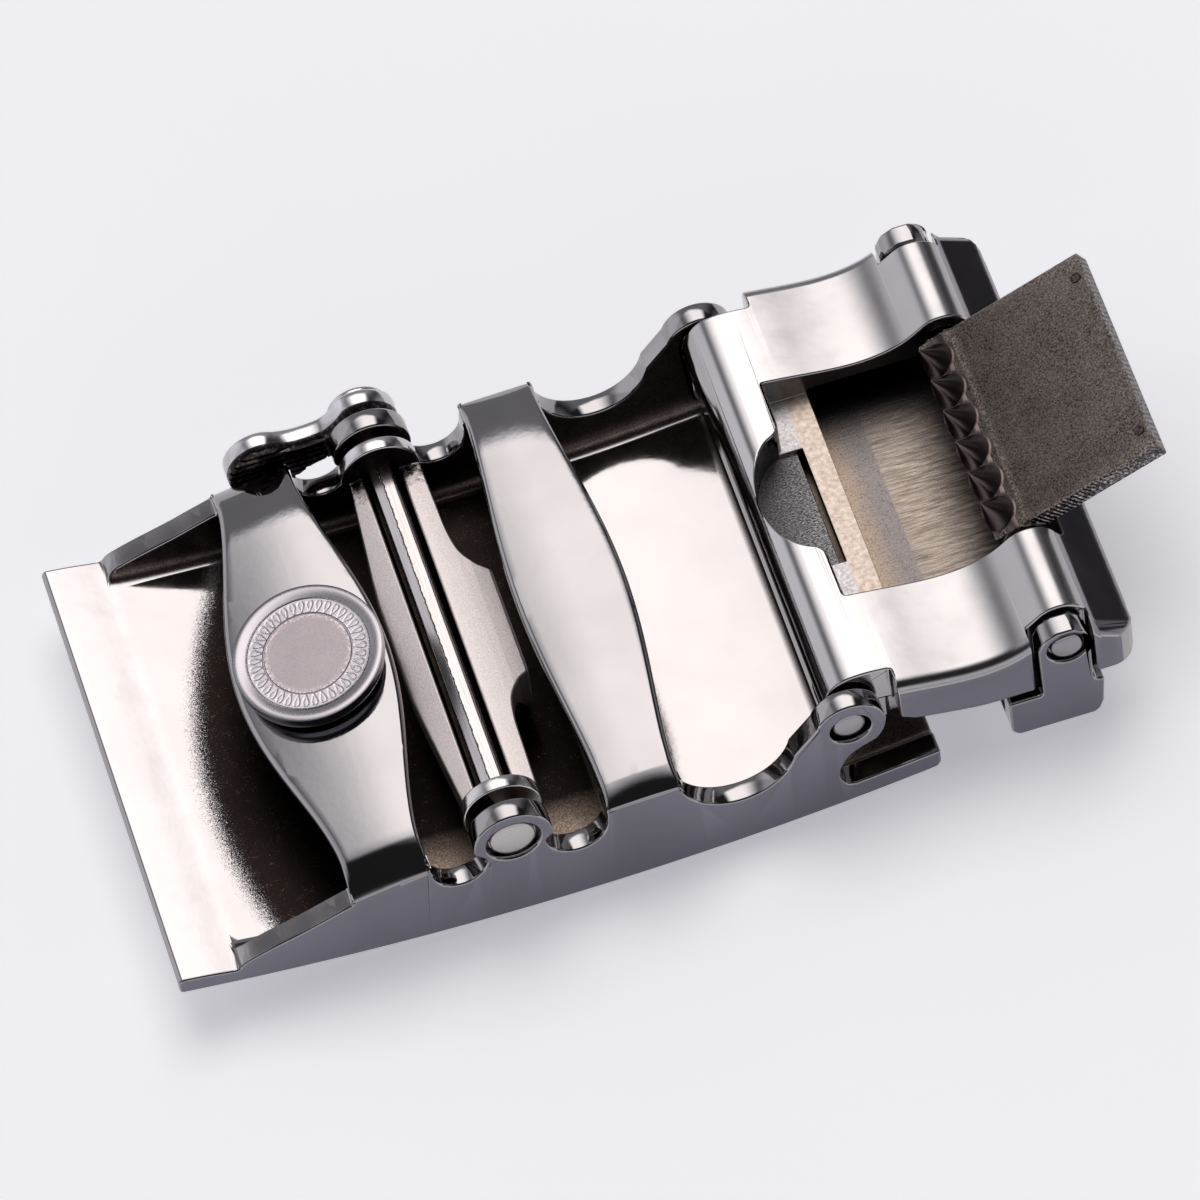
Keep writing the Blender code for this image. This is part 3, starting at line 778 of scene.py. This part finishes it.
def frame_interior():
    """Space between the side walls, with a fillet where they rise from the plate."""
    reach = FRAME_WIDTH / 2 - WALL_THICKNESS
    rings = []
    for angle in spread(90, 0, 8):
        turned = radians(angle)
        rise = WALL_FILLET * (1 - cos(turned))
        ring = [(x, plate_top(x) + rise) for x in spread(LEDGE_LENGTH, FRAME_LENGTH, 64)]
        ring += [(60.5, PLATE_THICKNESS + rise), (60.5, 20.0), (4.2, 20.0)]
        ring.append((4.2, plate_top(4.2) + 0.1 + rise))
        rings.append((WALL_FILLET * (sin(turned) - 1) + reach, ring))
    return mirrored_loft("interior", rings)


def build_frame():
    half = FRAME_WIDTH / 2
    body = prism_y("frame_body", wall_outline(), -half, half)
    cutters = [
        bore_y("axle_bore", PAWL_AXIS, (-21, 21), AXLE_RADIUS),
        round_y("head_bore", PAWL_AXIS, [(-21, 2.1), (-half, 2.1), (HEAD_BORE_DEPTH - half, 2.0)]),
        bore_y("pin_bore", CLAMP_AXIS, (-21, 21), CLAMP_PIN_RADIUS),
        thumb_scoop(),
    ]
    bars = [bar_solid("bar_1", BAR_1), bar_solid("bar_2", BAR_2)]
    combine(body, [frame_interior()], "DIFFERENCE")
    combine(body, bars, "UNION")
    return combine(body, cutters, "DIFFERENCE")


def frame_zone(centre, normal):
    """Material of the frame's faces: 0 plate, 1 rough casting, 2 inside of the face plate, 3 side plate (a
    darker, bluer plate: painted shade and painted floor reflection).
    """
    x, y, z = centre
    floor = face_z(min(x, FRAME_LENGTH)) + PLATE_THICKNESS
    if abs(y) < 18.25 and normal.z > 0.9 and z < floor + 0.4 and x > 0.5:
        return 2
    if abs(normal.y) > 0.93 and abs(y) > 19.8:
        return 3
    faces_in = abs(normal.y) > 0.3 and normal.y * y < 0
    inside_wall = faces_in and 16.9 < abs(y) < 18.25 and floor - 0.1 < z
    underside = normal.z < -0.6 and abs(y) < 18.3 and z > 2.0
    return 1 if inside_wall or underside else 0


# Disc, pawl, axle and lever


def disc_place():
    middle = sum(BAR_1["ends"]) / 2
    top = BAR_1["height"] + BAR_1["slope"] * (DISC_X - middle) + BAR_1["crown"] / 2
    tilt = Matrix.Rotation(-atan(BAR_1["slope"]), 4, "Y")
    return Matrix.Translation(Vector((DISC_X, 0, top + 0.3))) @ tilt


def petal_depth(angle, radius):
    """Depth of the engraved drops round the disc's field, in mm, at an angle and a radius of 0 to 1."""
    turn = angle / (2 * pi) * PETALS
    across = (turn % 1 - 0.5) * 2
    along = (radius - 0.695) / 0.085
    if abs(along) >= 1:
        return 0.0
    width = 0.66 * sqrt(max(0.0, 1 - max(0.0, along) ** 2)) * min(1.0, (along + 1) * 0.8)
    inside = 0.012 if abs(across) < width else 0.0
    return inside + 0.03 * max(0.0, 1 - abs(abs(across) - width) / 0.22)


def disc_height(angle, radius):
    """Height of the disc's face at a radius of 0 to 1: field, engraved band, thin line and raised rim."""
    if radius < 0.585:
        return DISC_HEIGHT - 0.16
    if radius < 0.605:
        return DISC_HEIGHT - 0.24
    if radius < 0.80:
        return DISC_HEIGHT - 0.13 - petal_depth(angle, radius)
    if radius < 0.83:
        return DISC_HEIGHT - 0.13 + 0.05 * sin((radius - 0.80) / 0.03 * pi)
    rim = (radius - 0.83) / 0.17
    rise = 0.13 * sin(min(1.0, rim * 1.4) * pi / 2)
    return DISC_HEIGHT - 0.13 + rise - 0.4 * max(0.0, rim - 0.7) ** 1.5


def build_disc():
    around = PETALS * 12
    angles = [2 * pi * i / around for i in range(around)]
    radii = [0.3, 0.5, 0.575, 0.585, 0.592, 0.6, 0.607] + spread(0.62, 0.79, 17)
    radii += [0.8, 0.807, 0.815, 0.823, 0.83] + spread(0.845, 1.0, 9)
    rings = []
    for scale, z in ((0.93, 0.0), (0.97, 0.1), (0.99, 0.3), (1.0, 0.55), (1.0, 0.85)):
        rings.append((scale, [z] * around))
    for radius in radii[::-1]:
        rings.append((radius if radius < 1 else 0.998, [disc_height(a, radius) for a in angles]))
    loops = []
    for scale, heights in rings:
        wide, deep = (radius * scale for radius in DISC_RADII)
        loops.append([(wide * cos(a), deep * sin(a), z) for a, z in zip(angles, heights)])
    disc = loft("disc_face", loops)
    disc.data.transform(disc_place())
    return disc


def disc_zone(centre, normal):
    local = disc_place().inverted() @ Vector(centre)
    radius = hypot(local.x / DISC_RADII[0], local.y / DISC_RADII[1])
    # The rim and underside take the side plate, darker as painted shade and painted floor reflection.
    if local.z < 0.8 or radius > 0.985:
        return 2
    return 1 if radius < 0.6 else 0


def pawl_plan():
    right = smooth_line([(29.4, PAWL_HALF_LENGTH), (29.5, 12.0), (29.6, 9.0), (30.0, 7.0), (30.9, 5.6)], 5)
    right += [(31.7, TOOTH_HALF_WIDTH + 0.2), (31.8, TOOTH_HALF_WIDTH - 0.1)]
    left = [(22.9, TOOTH_HALF_WIDTH), (23.05, 7.0), (23.9, PAWL_HALF_LENGTH)]
    return right + [(x, -y) for x, y in right[::-1]] + [(x, -y) for x, y in left[::-1]] + left


def build_pawl():
    low = AXLE_RADIUS + CLEARANCE
    profile = [(-4.5, -1.2), (-4.4, -0.85), (-4.1, -0.62), (-3.0, -0.3), (-CHANNEL, 0.08), (-low, -0.5)]
    profile += [(-low, -low), (low, -low), (low, -0.5), (CHANNEL, 0.12), (2.4, 0.03), (3.3, -0.1)]
    profile += [(4.1, -0.25), (4.8, -0.42), (5.3, -0.58), (5.7, -0.76), (6.0, -1.1), (6.0, -4.3)]
    profile += [(4.7, -4.3), (4.0, -2.4), (2.0, -2.1), (-4.5, -2.5)]
    profile = [(PAWL_AXIS[0] + x, PAWL_AXIS[1] + z) for x, z in profile]
    pawl = prism_y("pawl_tongue", profile, -PAWL_HALF_LENGTH, PAWL_HALF_LENGTH)
    combine(pawl, [prism_z("plan", pawl_plan(), 0.0, 12.0)], "INTERSECT")
    collars = []
    for side in (-1, 1):
        low_y, high_y = side_span(side, COLLAR_SPAN)
        collars.append(round_y("collar", PAWL_AXIS, [(low_y, COLLAR_RADIUS), (high_y, COLLAR_RADIUS)], 96))
    combine(pawl, collars, "UNION")
    return combine(pawl, [bore_y("bore", PAWL_AXIS, (-19, 19), AXLE_RADIUS)], "DIFFERENCE")


def pawl_zone(centre, normal):
    """Material of the pawl's faces: 0 satin, 1 polished collars, 2 dark casting inside the channel."""
    x, y, z = centre
    if abs(y) > COLLAR_SPAN[0] - 0.05 and hypot(x - PAWL_AXIS[0], z - PAWL_AXIS[1]) > 2.2:
        return 1
    in_channel = abs(x - PAWL_AXIS[0]) < CHANNEL - 0.1 and z < PAWL_AXIS[1] + 0.05
    return 2 if in_channel or (y > COLLAR_SPAN[0] - 0.1 and normal.y < -0.5) else 0


def build_axle():
    """Riveted rod: a low domed head in the near ear and a plain rod through to the lever."""
    head = -FRAME_WIDTH / 2 + HEAD_BORE_DEPTH - CLEARANCE
    angles = [radians(a) for a in spread(2, 90, 20)]
    dome = [(head - 0.08 - 0.42 * cos(a), AXLE_HEAD_RADIUS * sin(a)) for a in angles]
    sections = dome + [(head, AXLE_HEAD_RADIUS - 0.03), (head + 0.01, AXLE_RADIUS)]
    sections += [(y, AXLE_RADIUS) for y in spread(-18.0, 21.3, 60)] + [(21.4, AXLE_RADIUS - 0.1)]
    rings = []
    for y, radius in sections:
        flat = abs(y) < PAWL_HALF_LENGTH
        ring = []
        for a in spread(0, 360, 120)[:-1]:
            reach = radius
            for facing, distance in ROD_FLATS:
                share = cos(radians(90 - a - facing))
                if flat and share > 0.5:
                    reach = min(reach, distance / share)
            x = PAWL_AXIS[0] + reach * cos(radians(a))
            ring.append((x, y, PAWL_AXIS[1] + reach * sin(radians(a))))
        rings.append(ring)
    return loft("pawl_rod", rings)


def inset(outline, distance):
    """The outline moved inwards where it faces up, and hardly at all where it faces down."""
    moved = []
    for before, here, after in zip([outline[-1]] + outline[:-1], outline, outline[1:] + [outline[0]]):
        along = Vector((after[0] - before[0], after[1] - before[1])).normalized()
        step = distance * max(0.15, min(1.0, 0.3 - along.x))
        moved.append((here[0] - along.y * step, here[1] + along.x * step))
    return moved


def lever_outline():
    centre, radius = LEVER_PADDLE
    outline = arc(centre, radius, 60, 290, 44)
    outline += smooth_line([(20.0, 2.75), (20.8, 3.3), (22.0, 4.0), (23.2, 4.3)], 4)
    outline += arc(PAWL_AXIS, LEVER_HUB_RADIUS, 220, 480, 60)
    return outline + smooth_line([(24.4, 8.0), (23.4, 7.2), (22.4, 6.95), (21.2, 6.9), (20.4, 7.0)], 4)


def build_lever():
    """Dished paddle on an arm, with a domed hub."""
    low, high = LEVER_SPAN
    outline = lever_outline()
    sections = [(low, 0.5), (low + 0.12, 0.33), (low + 0.3, 0.17), (low + 0.55, 0.06), (low + 0.85, 0.01)]
    sections += [(low + 1.2, 0.0), (high - 0.35, 0.0), (high - 0.15, 0.06), (high - 0.04, 0.18), (high, 0.35)]
    lever = loft("lever_paddle", [[(x, y, z) for x, z in inset(outline, d)] for y, d in sections])
    hub = [(high - 0.7, 2.3), (high - 0.05, 2.4)]
    for a in map(radians, spread(0, 80, 14)):
        hub.append((high + 0.15 + 0.85 * sin(a), 2.44 * cos(a) ** 0.8))
    combine(lever, [round_y("hub", PAWL_AXIS, hub)], "UNION")
    grooves = []
    for i in range(LEVER_GROOVES):
        z = 2.6 + GROOVE_PITCH * i
        grooves.append(block("groove", (14.0, 23.2), (low - 0.5, low + 0.2), (z, z + GROOVE_WIDTH)))
    combine(lever, grooves, "DIFFERENCE")
    combine(lever, [bore_y("bore", PAWL_AXIS, (low - 1, 21.7), AXLE_RADIUS)], "DIFFERENCE")
    tidy_mesh(lever)
    return lever


def lever_zone(centre, normal):
    return 1 if centre.y < LEVER_SPAN[0] + 0.7 or normal.y < -0.6 else 0


# Clamp box, its pins and the keeper


def box_outline():
    lip = smooth_line([(BOX_END, 6.4), (BOX_END, 8.3), (74.62, 8.95), (74.2, 9.4)], 3) + [(71.9, 10.55)]
    barrel = arc(FLAP_AXIS, BARREL_RADIUS, 27, 128, 36)
    dish = [(67.25, 11.55), (66.6, 11.06), (65.9, 10.69), (65.0, 10.37), (64.0, 10.15), (63.0, 10.05)]
    dish += [(61.5, 10.07), (59.5, 10.32), (57.5, 10.66), (55.5, 10.98)]
    nose = [(54.4, 11.08), (53.4, 11.05), (52.5, 10.86), (51.8, 10.4)]
    nose += [(51.25, 9.6), (50.98, 8.9), (50.9, 8.3)]
    bottom = smooth_line([(50.9, 6.4), (51.05, 5.85), (51.5, 5.4), (52.3, 5.15)], 3)
    return lip + barrel + evened(smooth_line(dish + nose, 6), 90), bottom + [(56.3, 5.15), (74.1, 5.15)]


def box_shell():
    top, bottom = box_outline()
    rings = []
    for turned in map(radians, spread(0, 90, 10)):
        y = BOX_HALF_WIDTH - BOX_TOP_ROUND * (1 - cos(turned))
        drop = BOX_TOP_ROUND * (1 - sin(turned))
        ring = [(x, z - drop * held((z - 6.4) / 2.5)) for x, z in top] + bottom
        rings.append((y, ring))
    return mirrored_loft("clamp_sleeve", rings)


def corner_trim(side):
    """Space outside the rounded corner of the lip, seen from above."""
    x, y = BOX_END - BOX_CORNER_RADIUS, BOX_HALF_WIDTH - BOX_CORNER_RADIUS
    outline = arc((x, y), BOX_CORNER_RADIUS, 0, 90, 16)
    outline += [(x - 0.01, 21.5), (76.5, 21.5), (76.5, y - 0.01)]
    return prism_z("corner_trim", [(x, side * y) for x, y in outline], 3.0, 13.0)


def build_box():
    box = box_shell()
    inner = (-CAVITY_HALF_WIDTH, CAVITY_HALF_WIDTH)
    window = (-WINDOW_HALF_WIDTH, WINDOW_HALF_WIDTH)
    neck = BOX_NECK_END - 0.5
    wing = smooth_line([(neck, 7.5), (57.0, 6.8), (57.7, 6.5), (60.7, 5.9), (63.0, 5.6), (66.5, 5.6)], 5)
    wing += [(75.5, 5.76), (75.5, 4.0), (neck, 4.0)]
    bend = [(55.12, 6.6), (55.0, 6.0), (54.6, 5.5), (53.8, 5.05), (53.0, 4.25), (52.3, 3.0), (51.88, 1.5)]
    bend = smooth_line(bend + [(RECESS_LEFT, 0)] + [(x, -y) for x, y in bend[::-1]], 5)
    shallow = (-SLOT_HALF_WIDTH, SLOT_HALF_WIDTH)
    bowl = [(SLOT_SPAN[0], y) for y in shallow]
    bowl += [point for point in bend if abs(point[1]) < SLOT_HALF_WIDTH]
    cutters = []
    for side in (-1, 1):
        pocket = side_span(side, (BOX_NECK, 21.0))
        blind = side_span(side, (BOX_NECK - 2.6, 21.0))
        cutters += [
            prism_y("wing_cut", wing, *side_span(side, (17.6, 21.0))),
            block("ear_pocket", (50.0, BOX_NECK_END), pocket, (4.0, 12.0)),
            block("arm_slot", ARM_SLOT, side_span(side, (ARM_SLOT_FLOOR, 21.0)), (4.0, 14.0)),
            bore_y("pin_bore", CLAMP_AXIS, blind, CLAMP_PIN_RADIUS),
            corner_trim(side),
        ]
    cutters += [
        block("strap_way", (LEDGE_END, 76.0), inner, CAVITY),
        block("under_ledge", (55.0, LEDGE_END + 0.2), inner, (CAVITY[0], LEDGE_SPAN[0])),
        block("window", (LEDGE_END, WINDOW[1]), window, (CAVITY[1] - 0.3, 14.0)),
        block("window_left", (WINDOW[0], LEDGE_END + 0.2), window, (LEDGE_SPAN[1], 14.0)),
        prism_z("finger_notch", bend, LEDGE_SPAN[1], 14.0),
        prism_z("finger_bowl", bowl, RECESS_FLOOR, 9.0),
        block("slot", SLOT_SPAN, shallow, (LEDGE_SPAN[0] - 0.3, 9.0)),
        bore_y("hinge_bore", FLAP_AXIS, (-21, 21), HINGE_PIN_RADIUS),
    ]
    return combine(box, cutters, "DIFFERENCE")


def box_edge(place):
    """How round an edge of the box is: those of the slot stay nearly sharp."""
    return 0.25 if place.z < 9.0 and 51.0 < place.x < 59.0 and abs(place.y) < 11.0 else 1.0


def box_zone(centre, normal):
    """Material of the faces: 0 plate, 1 floor, 2 ledge, 3 recess, 4 lip (a darker plate: painted shade), 5
    inside, 6 slot, 7 side plate (a darker, bluer plate: painted shade and painted floor reflection).
    """
    x, y, z = centre
    if abs(normal.y) > 0.93 and abs(y) > 19.5:
        return 7
    in_window = abs(y) < WINDOW_HALF_WIDTH + 0.1
    in_slot = SLOT_SPAN[0] - 0.05 < x < SLOT_SPAN[1] + 0.05 and abs(y) < SLOT_HALF_WIDTH + 0.1
    if in_slot and z < LEDGE_SPAN[1] - 0.1:
        return 6
    if normal.z > 0.8 and z < CAVITY[0] + 0.1 and x > 54:
        return 1
    if normal.z > 0.6 and abs(z - LEDGE_SPAN[1]) < 0.14 and in_window and x < LEDGE_END + 0.1:
        return 2
    if z < RECESS_FLOOR + 0.25 and normal.z > 0.5 and 51.5 < x < 56.3 and abs(y) < 7:
        return 3
    if x > WINDOW[1] - 0.6 and normal.z > 0.25 and z > 8.9 and normal.x > 0.2:
        return 4
    in_wall = in_window and 54.9 < x < WINDOW[1] and CAVITY[1] - 0.4 < z < 10.0 and abs(normal.z) < 0.5
    in_way = x > 54.9 and abs(y) < CAVITY_HALF_WIDTH + 0.05 and CAVITY[0] < z < CAVITY[1] + 0.05
    return 5 if in_wall or in_way else 0


def clamp_pin(side):
    name = "clamp_rivet_near" if side < 0 else "clamp_rivet_far"
    angles = map(radians, spread(0, 88, 16))
    dome = [(19.46 + 0.44 * sin(a), CLAMP_PIN_RADIUS * cos(a)) for a in angles]
    sections = [(15.6, CLAMP_PIN_RADIUS - 0.1), (15.7, CLAMP_PIN_RADIUS), (19.3, CLAMP_PIN_RADIUS)] + dome
    return round_y(name, CLAMP_AXIS, [(side * y, radius) for y, radius in sections], 64)


def build_hinge_pin():
    end = KEEPER_SPAN[1] + 0.1
    angles = [radians(a) for a in spread(2, 90, 16)]
    head = [(end - 0.5 + 0.5 * cos(a), HINGE_HEAD_RADIUS * sin(a)) for a in angles]
    head += [(end - 0.55, HINGE_HEAD_RADIUS), (end - 0.6, HINGE_HEAD_RADIUS - 0.05)]
    head.append((end - 0.61, HINGE_PIN_RADIUS))
    sections = [(-y, radius) for y, radius in head] + head[::-1]
    return round_y("hinge_rivet", FLAP_AXIS, sections, 64)


def build_keeper():
    width = KEEPER_SPAN[1]
    side_plate = [(64.9, 1.3), (70.9, 1.3), (71.3, 1.7), (71.6, 2.5), (71.8, 5.2), (71.2, 5.25), (71.0, 5.7)]
    side_plate += [(71.0, 10.7), (70.6, 11.6), (69.8, 12.15), (68.5, 12.15), (67.5, 11.6), (67.0, 10.6)]
    side_plate += [(67.0, 5.2), (64.4, 5.2), (64.4, 1.8)]
    keeper = prism_y("keeper_loop", side_plate, -width, width)
    between = block("between", (60, 75), (-KEEPER_SPAN[0], KEEPER_SPAN[0]), (KEEPER_PLATE[1], 14))
    cutters = [between, bore_y("bore", FLAP_AXIS, (-22, 22), HINGE_PIN_RADIUS)]
    for side in (-1, 1):
        span = side_span(side, (width - 0.8, 22))
        cutters.append(bore_y("head_bore", FLAP_AXIS, span, HINGE_HEAD_RADIUS))
    return combine(keeper, cutters, "DIFFERENCE")


def keeper_zone(centre, normal):
    # Faces across Y take the side plate, darker as painted shade and painted floor reflection.
    return 1 if abs(normal.y) > 0.93 else 0


# The toothed flap


def build_flap():
    low, high = FLAP_SPAN
    under, face = FLAP_FACES
    span = (-FLAP_HALF_WIDTH, FLAP_HALF_WIDTH)
    rings = []
    for z, draft in ((under, 0.0), (face, 1.0)):
        side, end = FLAP_HALF_WIDTH - 0.08 * draft, high - 0.2 * draft
        rings.append([(low, -side, z), (end, -side, z), (end, side, z), (low, side, z)])
    flap = loft("toothed_flap", rings)
    combine(flap, [round_y("boss", (0, 0), [(y, FLAP_BOSS_RADIUS) for y in span])], "UNION")
    trim = block("trim", (low - 3, low), (-11, 11), (-3, 6))
    cutters = [trim, bore_y("bore", (0, 0), (-11, 11), HINGE_PIN_RADIUS)]
    for side in (-1, 1):
        centre = (DIMPLE_PLACE[0], side * DIMPLE_PLACE[1])
        cutters.append(loft("dimple", [ring_z(centre, radius, z, 32) for radius, z in DIMPLE]))
    combine(flap, cutters, "DIFFERENCE")
    foot = low + TOOTH_SETBACK + 1.05 * TOOTH_RADIUS
    soften(flap, 0.18, segments=2, splits=(foot + 0.2, foot + 0.8))
    for i in range(TEETH):
        y = (i - (TEETH - 1) / 2) * TOOTH_PITCH
        combine(flap, [flap_tooth(low + TOOTH_SETBACK, y, low, face)], "UNION")
    turn = Matrix.Rotation(radians(-FLAP_OPEN_ANGLE), 4, "Y")
    flap.data.transform(Matrix.Translation((FLAP_AXIS[0], 0, FLAP_AXIS[1])) @ turn)
    return flap


def flap_tooth(base, y, low, face):
    """A cone that leans back a little, cut off by the flap's hinge edge."""
    rings = []
    for share, rise in TOOTH_PROFILE:
        radius = TOOTH_RADIUS * (1 - 1.02 * share + (0.05 if rise == 0 else 0.0))
        rings.append(ring_z((base - TOOTH_LEAN * share, y), radius, face + rise, 48))
    tooth = loft("tooth", rings)
    return combine(tooth, [block("edge", (low - 3, low + 0.01), (-12, 12), (-3, 6))], "DIFFERENCE")


def flap_zone(centre, normal):
    turn = Matrix.Rotation(radians(FLAP_OPEN_ANGLE), 4, "Y")
    local = turn @ (Vector(centre) - Vector((FLAP_AXIS[0], 0, FLAP_AXIS[1])))
    facing = turn @ Vector(normal)
    if local.z > FLAP_FACES[1] + 0.05:
        return 1
    on_side = facing.z < 0.7 and (local.x > 2 or abs(facing.y) > 0.7)
    return 2 if on_side and 0.12 < local.z < FLAP_FACES[1] - 0.08 else 0


def main():
    plate = polished("nickel_plate", (0.315, 0.301, 0.303), (0.285, 0.272, 0.276))
    # Side plate: a darker, bluer, rougher copy of the plate for faces turned to the sides; its tone is
    # painted shade and painted reflection of the floor.
    side = polished("side_plate", (0.18, 0.175, 0.205), (0.163, 0.158, 0.186), 0.2)
    sleeve = sleeve_plate("sleeve_plate")
    lever = polished("lever_plate", (0.62, 0.60, 0.61), (0.44, 0.42, 0.43), 0.16, 0.003)
    rivet = polished("rivet_plate", (0.33, 0.315, 0.33), (0.25, 0.235, 0.25), 0.1, 0.004)
    rod = rod_plate("rod_plate")
    floor = plate_floor("plate_floor")
    inside = speckled("cast_inside", (0.36, 0.29, 0.26), (0.12, 0.09, 0.08), 7.0, 0.28, 0.02, (0.42, 0.74))
    ribbed = speckled("cast_ribbed", (0.30, 0.26, 0.25), (0.05, 0.04, 0.04), 3.0, 0.3, 0.03)
    shadow = speckled("cast_shadow", (0.03, 0.024, 0.022), (0.012, 0.010, 0.009), 4.0, 0.5, 0.02)
    ledge = ledge_plate("ledge_plate")
    hammered = hammered_floor("hammered_recess")
    brushed = cavity_floor("cavity_floor")
    tongue = tongue_satin("tongue_satin")
    channel = speckled("channel_casting", (0.10, 0.075, 0.065), (0.022, 0.016, 0.015), 6.0, 0.35, 0.02)
    even, along = (1.0, 1.0, 1.0), (0.3, 1.0, 1.0)
    wall = satin("window_wall", (0.55, 0.43, 0.37), (0.32, 0.25, 0.22), 0.34, 4.0, along, 0.02)
    bright, dark = (0.31, 0.26, 0.23), (0.02, 0.017, 0.015)
    blasted = satin("flap_blasted", bright, dark, 0.33, 7.5, even, 0.16, (0.38, 0.66))
    cone = polished("tooth_plate", (0.12, 0.092, 0.086), (0.075, 0.058, 0.055), 0.25, 0.001)
    sawn = ribbed_edge("flap_edge")
    collar = polished("collar_plate", (0.64, 0.62, 0.62), (0.44, 0.42, 0.42), 0.16, 0.005)
    # Lip: a darker copy of the plate, painted shade for the dark it reflects.
    shaded_lip = polished("shaded_lip_plate", (0.25, 0.23, 0.255), (0.23, 0.21, 0.235), 0.14)
    disc_band = satin("disc_band", (0.42, 0.395, 0.42), (0.34, 0.32, 0.34), 0.27, 12.0, even, 0.004)
    disc_field = satin("disc_field", (0.35, 0.31, 0.32), (0.24, 0.21, 0.222), 0.3, 14.0, along, 0.006)

    pieces = [
        (
            soften(build_frame(), 0.23, splits=SPLITS),
            "frame",
            ["frame"],
            "frame_chrome",
            [plate, inside, floor, side],
            frame_zone,
        ),
        (build_disc(), "frame", ["emblem_disc"], "disc_satin", [disc_band, disc_field, side], disc_zone),
        (soften(build_pawl(), 0.14), "pawl", ["pawl"], "pawl_satin", [tongue, collar, channel], pawl_zone),
        (build_axle(), "pawl", ["pawl_axle"], "rod_bright", [rod], one_zone),
        (build_lever(), "pawl", ["release_lever"], "lever_chrome", [lever, ribbed], lever_zone),
        (
            soften(build_box(), 0.2, box_edge),
            "clamp",
            ["clamp_box"],
            "box_chrome",
            [sleeve, brushed, ledge, hammered, shaded_lip, wall, shadow, side],
            box_zone,
        ),
        (clamp_pin(-1), "clamp", ["clamp_pin_near"], "rivet_steel", [rivet], one_zone),
        (clamp_pin(1), "clamp", ["clamp_pin_far"], "rivet_steel", [rivet], one_zone),
        (build_hinge_pin(), "clamp", ["hinge_pin"], "rivet_steel", [rivet], one_zone),
        (soften(build_keeper(), 0.25), "clamp", ["keeper"], "keeper_chrome", [plate, side], keeper_zone),
        (build_flap(), "flap", ["jaw_flap"], "flap_blasted", [blasted, cone, sawn], flap_zone),
    ]
    for item, body, nodes, slot, materials, zone in pieces:
        finish_piece(item, body, nodes, materials, zone)

    build_floor()
    build_world()
    build_camera()


def build_floor():
    bm = bmesh.new()
    bmesh.ops.create_grid(bm, x_segments=1, y_segments=1, size=6000)
    floor = mesh_object("floor", bm)
    mark_home(floor)
    floor.data.transform(Matrix.Scale(MM, 4))
    g = Graph("floor_paper")
    g.shader.inputs["Metallic"].default_value = 0.0
    g.shader.inputs["Specular IOR Level"].default_value = 0.2
    g.shader.inputs["Emission Color"].default_value = (0.93, 0.93, 1.0, 1.0)
    g.shader.inputs["Emission Strength"].default_value = 0.35
    tone = g.mix(g.span(g.grain(0.02, 2.0), 0.3, 0.7), (0.90, 0.90, 0.90), (0.92, 0.92, 0.92))
    floor.data.materials.append(g.done(tone, 0.8))


def build_world():
    """Plain studio: a large soft light above and behind, grey coves at the sides, a low front card."""
    world = bpy.data.worlds.new("studio")
    bpy.context.scene.world = world
    world.use_nodes = True
    g = Nodes(world.node_tree)
    direction = g.add("TexCoord").outputs["Generated"]
    parts = g.add("SeparateXYZ", {"Vector": direction}).outputs
    turn = g.math("DEGREES", g.math("ARCSINE", parts["X"]))
    height = g.math("DEGREES", g.math("ARCTAN2", parts["Z"], parts["Y"]))

    def step(value, low, high):
        return g.span(value, low, high, interpolation_type="SMOOTHSTEP")

    key = g.times(step(turn, -28, 4), step(turn, 34, 24), step(height, 43, 48), step(height, 104, 70))
    left = g.times(step(turn, -18, -38), step(height, 120, 90))
    back = g.times(step(height, 50, 42), step(turn, 50, 30))
    card = g.times(step(height, 142, 158), step(height, 179, 175), step(turn, -70, -45), step(turn, 70, 45))
    right = g.times(step(turn, 46, 66), step(height, 150, 110))
    strength = STUDIO_FILL
    for part, power in zip((key, left, back, card, right), STUDIO_POWERS):
        strength = g.plus(g.times(part, power), strength)
    tint = g.mix(key, (0.93, 0.94, 1.0), (1.0, 0.965, 0.945))
    background = world.node_tree.nodes["Background"]
    world.node_tree.links.new(tint, background.inputs["Color"])
    world.node_tree.links.new(strength, background.inputs["Strength"])


def build_camera():
    data = bpy.data.cameras.new("camera")
    data.lens = CAMERA_LENS
    data.sensor_width = SENSOR
    data.clip_start = 0.05
    data.clip_end = 30.0
    camera = bpy.data.objects.new("camera", data)
    bpy.context.scene.collection.objects.link(camera)
    axes = Matrix(CAMERA_AXES).transposed()
    turn = PLACE.to_3x3().normalized() @ axes
    camera.matrix_world = Matrix.Translation(PLACE @ (axes @ Vector(CAMERA_OFFSET))) @ turn.to_4x4()
    bpy.context.scene.camera = camera
    bpy.context.scene.view_settings.view_transform = "Standard"


main()
